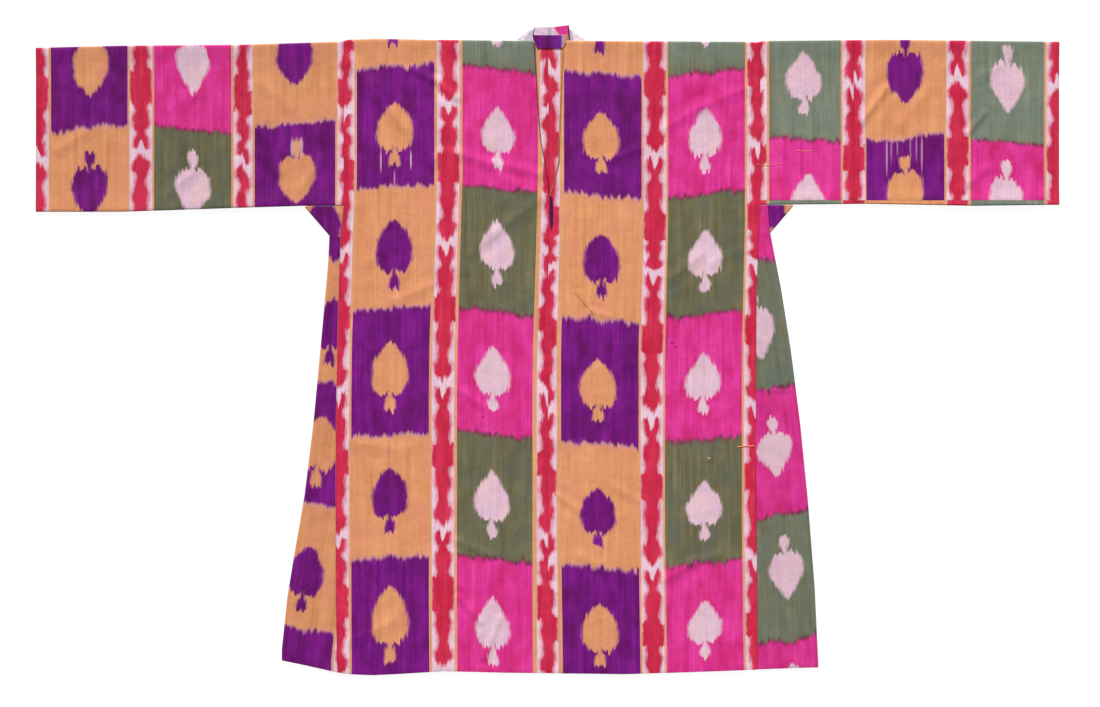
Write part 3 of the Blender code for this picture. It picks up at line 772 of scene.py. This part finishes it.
class Field:
    """A value in a node tree, with the arithmetic that makes further ones."""

    def __init__(self, tree, socket):
        self.tree = tree
        self.socket = socket

    def combine(self, operation, *others):
        node = self.tree.nodes.new("ShaderNodeMath")
        node.operation = operation
        for entry, value in zip(node.inputs, (self, *others)):
            feed(self.tree, value, entry)
        return Field(self.tree, node.outputs[0])

    def __add__(self, other):
        return self.combine("ADD", other)

    def __sub__(self, other):
        return self.combine("SUBTRACT", other)

    def __mul__(self, other):
        return self.combine("MULTIPLY", other)

    def __truediv__(self, other):
        return self.combine("DIVIDE", other)

    def size(self):
        return self.combine("ABSOLUTE")

    def whole(self):
        return self.combine("FLOOR")

    def part(self):
        return self.combine("FRACT")

    def most(self, other):
        return self.combine("MAXIMUM", other)

    def parity(self):
        return self.combine("PINGPONG", 1.0)

    def wave(self):
        return self.combine("SINE")

    def step(self, soft):
        """A soft step from 0 to 1 as the value passes 0."""
        node = self.tree.nodes.new("ShaderNodeMapRange")
        node.interpolation_type = "SMOOTHSTEP"
        feed(self.tree, self, node.inputs["Value"])
        node.inputs["From Min"].default_value = -soft
        node.inputs["From Max"].default_value = soft
        return Field(self.tree, node.outputs[0])

    def curve(self, table, top):
        """The value of a table of places from 0 to 1 and heights, in straight steps."""
        node = self.tree.nodes.new("ShaderNodeFloatCurve")
        line = node.mapping.curves[0]
        while len(line.points) < len(table):
            line.points.new(0.5, 0.5)
        for point, (place, height) in zip(line.points, table):
            point.location = (place, height / top)
            point.handle_type = "VECTOR"
        node.mapping.update()
        feed(self.tree, self, node.inputs["Value"])
        return Field(self.tree, node.outputs[0]) * top


def feed(tree, value, entry):
    """Puts a value, or a field's socket, into a node's entry."""
    if isinstance(value, Field):
        tree.links.new(value.socket, entry)
    else:
        entry.default_value = value


def mixed(tree, factor, first, second):
    """A colour between two others."""
    node = tree.nodes.new("ShaderNodeMix")
    node.data_type = "RGBA"
    feed(tree, factor, node.inputs[0])
    feed(tree, first, node.inputs[6])
    feed(tree, second, node.inputs[7])
    return Field(tree, node.outputs[2])


class Cloth:
    """A cloth's material while it is made: its tree and the places that its pattern reads."""

    def __init__(self, name, has_chart=True):
        self.material = bpy.data.materials.new(name)
        self.material.use_nodes = True
        self.tree = self.material.node_tree
        self.shader = self.tree.nodes["Principled BSDF"]
        if has_chart:
            self.offset, self.along, self.number = self.attribute("strip")
            self.u, self.v, self.edge = self.attribute("weave")
        else:
            self.u, self.v, self.number = self.own_place()

    def split(self, socket):
        node = self.tree.nodes.new("ShaderNodeSeparateXYZ")
        self.tree.links.new(socket, node.inputs[0])
        return [Field(self.tree, output) for output in node.outputs]

    def attribute(self, name):
        node = self.tree.nodes.new("ShaderNodeAttribute")
        node.attribute_name = name
        return self.split(node.outputs["Vector"])

    def own_place(self):
        """Photo pixels across and down, from where the piece lies."""
        node = self.tree.nodes.new("ShaderNodeTexCoord")
        x, y, z = self.split(node.outputs["Object"])
        return x / PIXEL + ORIGIN_X, (y / -PIXEL) + ORIGIN_Y, z

    def noise(self, x, y, z, detail=0.0):
        """Smooth noise, mostly from -1 to 1."""
        place = self.tree.nodes.new("ShaderNodeCombineXYZ")
        for entry, value in zip(place.inputs, (x, y, z)):
            feed(self.tree, value, entry)
        node = self.tree.nodes.new("ShaderNodeTexNoise")
        self.tree.links.new(place.outputs[0], node.inputs["Vector"])
        node.inputs["Scale"].default_value = 1.0
        node.inputs["Detail"].default_value = detail
        return (Field(self.tree, node.outputs[0]) - 0.5) * 4.0

    def threads(self, width, length, seed):
        """Noise that differs from one bundle of warp threads to the next and changes slowly along them."""
        bundle = (self.u / width).whole() * 3.71
        return self.noise(bundle, self.v / length, self.number * 7.3 + seed)

    def dyed(self, dye_tones, seed):
        """A dye with its lighter and darker threads and its uneven patches; the tones of painted shade are
        made the same way.
        """
        darkest, lightest, patch = dye_tones
        fine = self.threads(1.3, 50.0, seed) * 0.165
        broad = self.threads(4.1, 90.0, seed + 0.37) * 0.16
        cloudy = self.noise(self.u / 14.0, self.v / 20.0, seed, 3.0) * 0.17
        threads = mixed(self.tree, fine + broad + cloudy + 0.5, darkest, lightest)
        patches = self.noise(self.u / 13.0, self.v / 26.0, seed + 4.7, 2.0) * 0.7 + 0.22
        return mixed(self.tree, patches, threads, patch)

    def finished(self, colour, roughness=0.6, sheen=0.03):
        """Colour, roughness, sheen and the relief of the weave on the shader."""
        feed(self.tree, colour, self.shader.inputs["Base Color"])
        self.shader.inputs["Roughness"].default_value = roughness
        self.shader.inputs["Sheen Weight"].default_value = sheen
        self.shader.inputs["Sheen Roughness"].default_value = 0.45
        self.shader.inputs["Specular IOR Level"].default_value = 0.12
        ribs = (self.v * 7.4).wave() * 0.00002
        yarn = self.threads(0.5, 9.0, 9.1) * 0.00003
        crumple = self.noise(self.u / 18.0, self.v / 18.0, 0.7, 3.0) * 0.00045
        relief = self.tree.nodes.new("ShaderNodeBump")
        relief.inputs["Strength"].default_value = 1.0
        relief.inputs["Distance"].default_value = 1.0
        feed(self.tree, crumple + yarn + ribs, relief.inputs["Height"])
        self.tree.links.new(relief.outputs[0], self.shader.inputs["Normal"])
        return self.material

    def shaded_at_seams(self, colour):
        """The colour darker close to seams and edges, partly painted shade of the seam grooves and partly
        soil there, and a little darker at the left sleeve and the gores.
        """
        node = self.tree.nodes.new("ShaderNodeHueSaturation")
        # Painted shade in the seam grooves and along edges, with some soil: the value falls to 0.78 there.
        seam_shade_and_soil = (self.edge - 0.6).step(1.3) * 0.22 + 0.78
        left_side = (self.u * -1.0 + 335.0).step(6.0) * -0.08 + 1.0
        feed(self.tree, seam_shade_and_soil * left_side, node.inputs["Value"])
        feed(self.tree, colour, node.inputs["Color"])
        return Field(self.tree, node.outputs[0])


def leaf_shape(cloth, place, form, grow):
    """Where a leaf is, from its place along the cell; grow widens it into its halo."""
    outline, stem_table, prongs = form
    wobble = cloth.noise(cloth.v / 9.0, cloth.number, cloth.along.whole() + 0.4) * 0.5
    offset = (cloth.offset + wobble).size()
    stout = cloth.noise(cloth.number * 3.1, cloth.along.whole() * 1.7 + 0.3, 2.2) * 0.06 + 0.98
    outer = place.curve(outline, LEAF_WIDTH) * stout + grow + cloth.threads(1.9, 7.0, 8.2) * 0.85
    notch = place.curve(NOTCH, LEAF_WIDTH) - grow - 0.8
    stem = place.curve(stem_table, LEAF_WIDTH) + grow
    lobes = (outer - offset).step(2.4) * (offset - notch).step(1.2)
    stalk = (stem - offset).step(1.7)
    reach = 0.006 + 0.018 * grow
    cleft = (offset * -1.0 + 1.9).step(0.9) * prongs
    inside = (place + reach).step(0.02) * (place * -1.0 - cleft + (1.0 + reach)).step(0.03)
    return lobes.most(stalk) * inside


def toothed_ground(cloth, even_dye, odd_dye, between, tooth, gap_least):
    """Two dyes in turn down a column, toothed where they meet."""
    tree = cloth.tree
    drift = cloth.noise(cloth.u / 22.0, (cloth.along + 0.5).whole() * 1.3 + 0.2, cloth.number) * 2.0
    teeth = cloth.threads(3.3, 60.0, 3.0) * (0.42 * tooth) + cloth.threads(1.4, 26.0, 4.0) * (0.2 * tooth)
    meeting = teeth + drift
    gap = (cloth.threads(2.6, 60.0, 5.0) * (0.42 * tooth) + gap_least).most(0.0) / 2.0
    nearest = (cloth.along + 0.5).whole()
    away = (cloth.along - nearest) * UPRIGHT_CELL
    turn = nearest.parity()
    before = mixed(tree, turn, odd_dye, even_dye)
    after = mixed(tree, turn, even_dye, odd_dye)
    ground = mixed(tree, (meeting - gap - away).step(2.9), cloth.dyed(between, 3.0), before)
    return mixed(tree, (away - meeting - gap).step(2.9), ground, after)


def cell_cloth(name, dyes, between, leaves, form, tooth, gap_least, halo, faded=None):
    """Cells of two dyes in turn, a leaf in each. The second fades at the right, gores and shoulders."""
    cloth = Cloth(name)
    tree = cloth.tree
    even_dye, odd_dye = cloth.dyed(dyes[0], 1.0), cloth.dyed(dyes[1], 2.0)
    if faded:
        outward = (cloth.u - 770.0).step(10.0) * 0.75 + (cloth.u * -1.0 + 120.0).step(5.0) * 0.4
        share = outward.most((cloth.v * -1.0 + 66.0).step(16.0) * 0.8)
        odd_dye = mixed(tree, share, odd_dye, cloth.dyed(faded, 2.4))
    ground = toothed_ground(cloth, even_dye, odd_dye, between, tooth, gap_least)

    low_end = ((cloth.along - cloth.along.whole()) - 0.62).step(0.05) * 0.5 + 0.85
    shift = (cloth.threads(2.0, 40.0, 6.0) * 1.9 + cloth.threads(1.1, 20.0, 7.0) * 1.0) * low_end
    shifted_along = cloth.along + shift / UPRIGHT_CELL
    cell = shifted_along.whole()
    place = (shifted_along - cell - LEAF_START) / (LEAF_END - LEAF_START)
    if halo:
        ground = mixed(tree, leaf_shape(cloth, place, form, halo) * 0.22, ground, cloth.dyed(TOOTH, 5.0))
    leaf = mixed(tree, cell.parity(), cloth.dyed(leaves[0], 1.6), cloth.dyed(leaves[1], 2.6))
    colour = mixed(tree, leaf_shape(cloth, place, form, 0.0), ground, leaf)
    return cloth.finished(cloth.shaded_at_seams(marked(cloth, colour)))


def marked(cloth, colour):
    """The colour with the small stains and pale streaks of the front."""
    for mark in MARKS:
        across_it = (cloth.u - mark.px) / mark.half_width
        down_it = (cloth.v - mark.row) / mark.half_length
        inside = (across_it * across_it + down_it * down_it) * -1.0 + 1.0
        colour = mixed(cloth.tree, inside.step(0.8) * mark.strength, colour, mark.tone)
    return colour


def stripe_cloth(name):
    """The narrow stripe between columns: red links on white between two gold lines."""
    cloth = Cloth(name)
    tree = cloth.tree
    shift = cloth.threads(2.1, 40.0, 6.0) * 1.9 + cloth.threads(1.0, 20.0, 7.0) * 0.9
    place = (cloth.along + shift / LINK_LENGTH).part()
    swerve = cloth.noise(cloth.v / 8.0, cloth.number, 0.5) * 0.5
    offset = (cloth.offset + swerve).size()
    half = place.curve(LINK_RED, LINK_WIDTH) + cloth.threads(1.6, 7.0, 8.0) * 0.7
    fork = place.curve(LINK_FORK, LINK_WIDTH) - 0.8
    white = cloth.dyed(WHITE, 1.0)
    outside_fork = (offset - fork).step(0.8)
    blush = (half + 1.9 - offset).step(1.5) * outside_fork * 0.4
    red = (half - 0.5 - offset).step(1.7) * outside_fork
    colour = mixed(tree, blush, white, cloth.dyed(RED, 2.0))
    colour = mixed(tree, red, colour, cloth.dyed(RED, 3.0))
    hairline = (cloth.offset.size() - 11.2).step(0.7)
    colour = mixed(tree, hairline, colour, cloth.dyed(HAIRLINE, 4.0))
    return cloth.finished(cloth.shaded_at_seams(colour))


# A mark on a plain cloth: its left and right lines at SLANT_ROW and how far each leans per row.
SLANT_ROW = 31.0
Slant = namedtuple("Slant", "left left_lean right right_lean tones strength")


def plain_cloth(name, tones, slants=()):
    """Cloth of one dye, with slanting marks of other dyes and of painted shade."""
    cloth = Cloth(name, has_chart=False)
    colour = cloth.dyed(tones, 1.0)
    down = cloth.v - SLANT_ROW
    for slant in slants:
        from_left = (cloth.u - slant.left - down * slant.left_lean).step(1.8)
        from_right = (cloth.u * -1.0 + slant.right + down * slant.right_lean).step(1.2)
        inside = from_left * from_right * slant.strength
        colour = mixed(cloth.tree, inside, colour, cloth.dyed(slant.tones, 2.0))
    return cloth.finished(colour)


Row = namedtuple("Row", "y left right")
COLLAR_HEIGHT = 0.0021
WING_HEIGHT = 0.0016
TACK_HEIGHT = 0.0043
FOLD_HEIGHT = COLLAR_HEIGHT + 0.0006
PIPING_RADIUS = 0.0005
SHADED_GOLD_EDGE_RADIUS = PIPING_RADIUS * 2.2
LEFT_FOLD_RADIUS = 0.0006
RIGHT_FOLD_RADIUS = 0.0011
STITCH_RADIUS = 0.0005
DARN_RADIUS = 0.0009
STRAY_RADIUS = 0.0003
STRIP_LEVELS = 13
STRIP_COLUMNS = 19

# The dark folds at the collar's ends, in photo pixels.
LEFT_FOLD = ((534.3, 28.2), (533.0, 35.6), (533.9, 41.0))
RIGHT_FOLD = ((568.4, 26.8), (568.9, 36.0), (569.7, 41.8))
COLLAR_FACING = (
    Row(0.5128, -0.0176, 0.0298), Row(0.5262, -0.0228, 0.0345), Row(0.5350, -0.0240, 0.0372),
)
COLLAR_BAND = (Row(0.5353, -0.0242, 0.0370), Row(0.5448, -0.0230, 0.0366))
COLLAR_BAND_TOP = (Across(-0.0228, 0.5479), Across(0.0102, 0.5484), Across(0.0349, 0.5519))
WING_LEFT = (
    Row(0.5210, -0.0230, -0.0186), Row(0.5256, -0.0234, -0.0204),
    Row(0.5258, -0.0553, -0.0208), Row(0.5440, -0.0278, -0.0231),
)
WING_RIGHT = (
    Row(0.5258, 0.0322, 0.0670), Row(0.5340, 0.0350, 0.0548), Row(0.5448, 0.0362, 0.0385),
)
TACK = (
    Row(0.2600, 0.0040, 0.0082), Row(0.2462, 0.0036, 0.0092), Row(0.2300, 0.0032, 0.0098),
    Row(0.2150, 0.0040, 0.0092), Row(0.2060, 0.0054, 0.0074),
)


def strip(name, rows, height, material, top_line=None):
    """A flat strip of cloth through rows of level and two ends, a little uneven."""
    rows = sorted(rows)
    levels = np.linspace(rows[0].y, rows[-1].y, STRIP_LEVELS)
    left = np.interp(levels, [row.y for row in rows], [row.left for row in rows])
    right = np.interp(levels, [row.y for row in rows], [row.right for row in rows])
    x = left[:, None] + np.linspace(0.0, 1.0, STRIP_COLUMNS) * (right - left)[:, None]
    y = np.repeat(levels[:, None], STRIP_COLUMNS, axis=1)
    if top_line:
        share = (y - levels[0]) / (levels[-1] - levels[0])
        y = levels[0] + share * (read(top_line, x) - levels[0])
    z = height + 0.00025 * np.sin(x * 420.0 + y * 260.0) * np.sin(y * 390.0 - x * 130.0)
    index = np.arange(x.size).reshape(x.shape)
    mesh = bpy.data.meshes.new(name)
    points = np.stack([x, y, z], axis=-1).reshape(-1, 3)
    mesh.from_pydata(points.tolist(), [], four_corners(index).reshape(-1, 4).tolist())
    mesh.materials.append(material)
    sharp_edged(mesh)
    return thickened(placed(name + SHELL, mesh), CLOTH)


def thread(name, paths, radius, material):
    """Thin round threads, each along its own points."""
    curve = bpy.data.curves.new(name, "CURVE")
    curve.dimensions = "3D"
    curve.bevel_depth = radius
    curve.bevel_resolution = 2
    curve.use_fill_caps = True
    for path in paths:
        spline = curve.splines.new("POLY")
        spline.points.add(len(path) - 1)
        for control, point in zip(spline.points, path):
            control.co = (*point, 1.0)
    curve.materials.append(material)
    return placed(name, curve)


def on_cloth(x, y, lift):
    """A point a little above the front layer."""
    edge = np.array([FAR_FROM_SEAMS])
    height = lifted(np.array([x]), np.array([y]), edge)[0]
    return (float(x), float(y), float(height + CLOTH / 2 + lift))


def slit_path(table, inward):
    levels = np.linspace(SLIT_FOOT, SLIT_TOP, 46)
    return [on_cloth(read(table, y) + inward * 0.0007, y, PIPING_RADIUS * 0.6) for y in levels]


def loose_thread(x1, y1, x2, y2, bow):
    """A mending stitch between two photo points, bowed to one side."""
    path = []
    for share in np.linspace(0.0, 1.0, 12):
        px = x1 + (x2 - x1) * share
        py = y1 + (y2 - y1) * share + bow * math.sin(math.pi * share)
        path.append(on_cloth(across(px), up(py), 0.0002))
    return path


def claim(piece, node):
    """The piece rides with the garment and stands for a node of the frame."""
    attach(piece, "root")
    if node:
        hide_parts(node)
    return piece


def trim(name, paths, radius, material, node=None):
    """A thread piece at the neck or a mend."""
    claim(thread(name, paths, radius, material), node)


def laid(piece, flat):
    """A sheet of cloth that lies flat, in place of its solid."""
    claim(piece, piece.name.removesuffix(SHELL))


def make_cloths():
    """The ikat pieces: panels, sleeves, gores and gussets."""
    materials = [
        stripe_cloth("ikat_stripe"),
        cell_cloth(
            "ikat_purple_gold", (PURPLE, GOLD), TOOTH, (GOLD, PURPLE),
            (ROUND_LEAF, SQUARE_STEM, 0.055), 5.5, 1.2, 0.9,
        ),
        cell_cloth(
            "ikat_pink_green", (PINK, GREEN), PLUM, (PALE, PALE),
            (PEAR_LEAF, DROP_STEM, 0.0), 5.0, 2.4, 0.0, GREY_GREEN,
        ),
    ]
    seam = CENTRE_SEAM[1:]
    left = body_panel(
        "left_body_panel", LEFT_BANDS, (SIDE_LEFT, SLIT_LEFT + seam),
        (SIDE_LEFT, BACK_NECK_LEFT + seam), LEAN_LEFT, materials,
    )
    right = body_panel(
        "right_body_panel", RIGHT_BANDS, (SLIT_RIGHT + seam, SIDE_RIGHT),
        (BACK_NECK_RIGHT + seam, SIDE_RIGHT), LEAN_RIGHT, materials,
    )
    laid(left, (0.360, 2.150))
    laid(right, (0.358, 2.150))

    left_arm, right_arm = (UNDERARM_LEFT, SHOULDER_LEFT), (UNDERARM_RIGHT, SHOULDER_RIGHT)
    row = RIGHT_SLEEVE_SEAM_ROW
    sleeves = (
        ("left_sleeve_inner", SLEEVE_JOIN_LEFT, ARM_SEAM_LEFT, left_arm, LEFT_INNER_BANDS, None),
        ("left_sleeve_cuff", CUFF_LEFT, SLEEVE_JOIN_LEFT, left_arm, LEFT_CUFF_BANDS, None),
        ("right_sleeve_inner", ARM_SEAM_RIGHT, SLEEVE_JOIN_RIGHT, right_arm, RIGHT_INNER_BANDS, row),
        ("right_sleeve_cuff", SLEEVE_JOIN_RIGHT, CUFF_RIGHT, right_arm, RIGHT_CUFF_BANDS, row),
    )
    for name, low, high, arm, bands, seam_row in sleeves:
        piece = sleeve(name, low, high, *arm, bands, seam_row, materials)
        laid(piece, (high - low, 0.566))

    left_gore = gore(
        "left_gore", -1, SIDE_LEFT, GORE_EDGE_LEFT, GORE_TOP_LEFT, LEFT_GORE_FRONT, LEFT_GORE_BACK,
        materials,
    )
    right_gore = gore(
        "right_gore", 1, SIDE_RIGHT, GORE_EDGE_RIGHT, GORE_TOP_RIGHT, RIGHT_GORE_FRONT,
        RIGHT_GORE_BACK, materials,
    )
    laid(left_gore, (0.190, 0.740))
    laid(right_gore, (0.204, 0.790))

    left_gusset = gusset(
        "left_gusset", GUSSET_LEFT_TIP, GUSSET_LEFT_FOOT, ARM_SEAM_LEFT, SIDE_LEFT,
        LEFT_GUSSET_BANDS, materials,
    )
    right_gusset = gusset(
        "right_gusset", GUSSET_RIGHT_TIP, GUSSET_RIGHT_FOOT, GORE_EDGE_RIGHT[0].x,
        GORE_EDGE_RIGHT, RIGHT_GUSSET_BANDS, materials,
    )
    laid(left_gusset, (0.068, 0.068))
    laid(right_gusset, (0.046, 0.046))


def make_collar():
    """The collar pieces, the edging of the slit and its tack."""
    # The grey slant in the band's middle is painted shadow of its centre back seam.
    band_cloth = plain_cloth("collar_band_cloth", LILAC, (
        Slant(548.0, 0.0, 551.5, 0.0, PAINTED_SHADE_GREY, 0.55), Slant(551.8, 0.1, 559.0, 0.0, PALE, 0.9),
        Slant(556.2, 0.7, 572.0, 0.0, PINK, 1.0), Slant(534.0, 0.0, 546.0, 0.0, PALE, 0.5),
    ))
    # The last slant, at the facing's right end, is the gold hairline darkened by painted shade.
    facing_cloth = plain_cloth("collar_facing_cloth", PURPLE, (
        Slant(545.5, 0.0, 551.5, 0.0, DARK_THREAD, 0.6), Slant(554.0, 0.0, 563.0, 0.0, VIOLET, 0.6),
        Slant(562.2, 0.0, 580.0, 0.0, PALE, 0.8), Slant(564.2, 0.0, 580.0, 0.0, GOLD_IN_PAINTED_SHADE, 0.95),
    ))
    # The grey slants at the wings' ends are painted shade of the folds beside them.
    wing_cloth = plain_cloth("collar_wing_cloth", PALE_LILAC, (
        Slant(566.5, 0.0, 571.0, 0.3, PAINTED_SHADE_GREY, 0.6), Slant(530.0, -0.7, 533.8, 0.0, PAINTED_SHADE_GREY, 0.4),
    ))
    dark = plain_cloth("dark_thread", DARK_THREAD)
    shaded_gold_edge = plain_cloth("tan_edge", GOLD_IN_PAINTED_SHADE)
    band = strip("collar_band", COLLAR_BAND, COLLAR_HEIGHT, band_cloth, COLLAR_BAND_TOP)
    facing = strip("collar_facing", COLLAR_FACING, COLLAR_HEIGHT, facing_cloth)
    left_wing = strip("left_collar_wing", WING_LEFT, WING_HEIGHT, wing_cloth)
    right_wing = strip("right_collar_wing", WING_RIGHT, WING_HEIGHT, wing_cloth)
    laid(band, (0.0596, 0.0150))
    laid(facing, (0.0560, 0.0204))
    laid(left_wing, (0.0315, 0.0182))
    laid(right_wing, (0.0296, 0.0190))
    left_edge, right_edge = [slit_path(SLIT_LEFT, -1.0)], [slit_path(SLIT_RIGHT, 0.2)]
    # The left slit's edging is a thin dark cord; its darkness is partly painted shade along the slit's
    # edge.
    trim("left_slit_edging", left_edge, PIPING_RADIUS, dark, "left_slit_piping")
    # The right slit's edging has the colour of the gold hairline in painted shade, where the panel's edge
    # turns under.
    trim("right_slit_edging", right_edge, SHADED_GOLD_EDGE_RADIUS, shaded_gold_edge, "right_slit_piping")
    claim(strip("slit_tack", TACK, TACK_HEIGHT, dark), "slit_tack")
    trim("left_collar_fold", [folded_edge(LEFT_FOLD)], LEFT_FOLD_RADIUS, dark)
    trim("right_collar_fold", [folded_edge(RIGHT_FOLD)], RIGHT_FOLD_RADIUS, dark)


def folded_edge(spots):
    """A line through spots of the photo, level over the collar."""
    return [(across(px), up(row), FOLD_HEIGHT) for px, row in spots]


def make_mends():
    """Mending stitches and stray threads on the front."""
    orange = plain_cloth("orange_thread", ORANGE)
    stitches = (loose_thread(757, 165, 780, 164, 1.0), loose_thread(796, 151, 812, 151, 0.5))
    trim("mending_stitches", stitches, STITCH_RADIUS, orange)
    trim("darning_stitch", [loose_thread(737, 447, 754, 446, -0.4)], DARN_RADIUS, orange)
    brown = plain_cloth("mending_thread_brown", BROWN)
    stray = (loose_thread(575, 293, 592, 312, 0.6), loose_thread(770, 391, 770, 411, 0.8))
    trim("stray_threads", stray, STRAY_RADIUS, brown)


FLOOR_HALF = 6.0
FLOOR_LEVEL = -0.0006
FLOOR_GLOW = 0.93
WORLD_GLOW = 0.30
KEY_TOWARDS = (-0.35, 1.75, 1.05)
KEY_STRENGTH = 4.75
KEY_SPREAD = 0.25
CAMERA_PLACE = (0.00425, -0.006, 4.415)


def make_stage():
    """A plain pale floor, soft light and the camera straight above."""
    mesh = bpy.data.meshes.new("floor")
    turns = ((-1, -1), (1, -1), (1, 1), (-1, 1))
    corners = [(x * FLOOR_HALF, y * FLOOR_HALF, FLOOR_LEVEL) for x, y in turns]
    mesh.from_pydata(corners, [], [(0, 1, 2, 3)])
    floor = placed("floor", mesh)
    paint = bpy.data.materials.new("floor_paint")
    paint.use_nodes = True
    shader = paint.node_tree.nodes["Principled BSDF"]
    shader.inputs["Base Color"].default_value = (0.10, 0.10, 0.10, 1.0)
    shader.inputs["Roughness"].default_value = 0.9
    shader.inputs["Emission Color"].default_value = (1.0, 1.0, 1.0, 1.0)
    shader.inputs["Emission Strength"].default_value = FLOOR_GLOW
    mesh.materials.append(paint)

    world = bpy.data.worlds.new("studio")
    world.use_nodes = True
    world.node_tree.nodes["Background"].inputs["Color"].default_value = (1.0, 1.0, 1.0, 1.0)
    world.node_tree.nodes["Background"].inputs["Strength"].default_value = WORLD_GLOW
    bpy.context.scene.world = world
    add_sun("key", KEY_TOWARDS, KEY_STRENGTH, KEY_SPREAD)

    lens = bpy.data.cameras.new("camera")
    lens.lens = 85.0
    lens.sensor_width = 36.0
    camera = placed("camera", lens)
    camera.location = CAMERA_PLACE
    bpy.context.scene.camera = camera
    bpy.context.scene.view_settings.view_transform = "Standard"


def add_sun(name, towards, strength, spread):
    """An even light from one direction, with soft shadows."""
    light = bpy.data.lights.new(name, "SUN")
    light.energy = strength
    light.angle = spread
    lamp = placed(name, light)
    lamp.rotation_euler = Vector(towards).to_track_quat("Z", "Y").to_euler()


make_stage()
make_cloths()
make_collar()
make_mends()
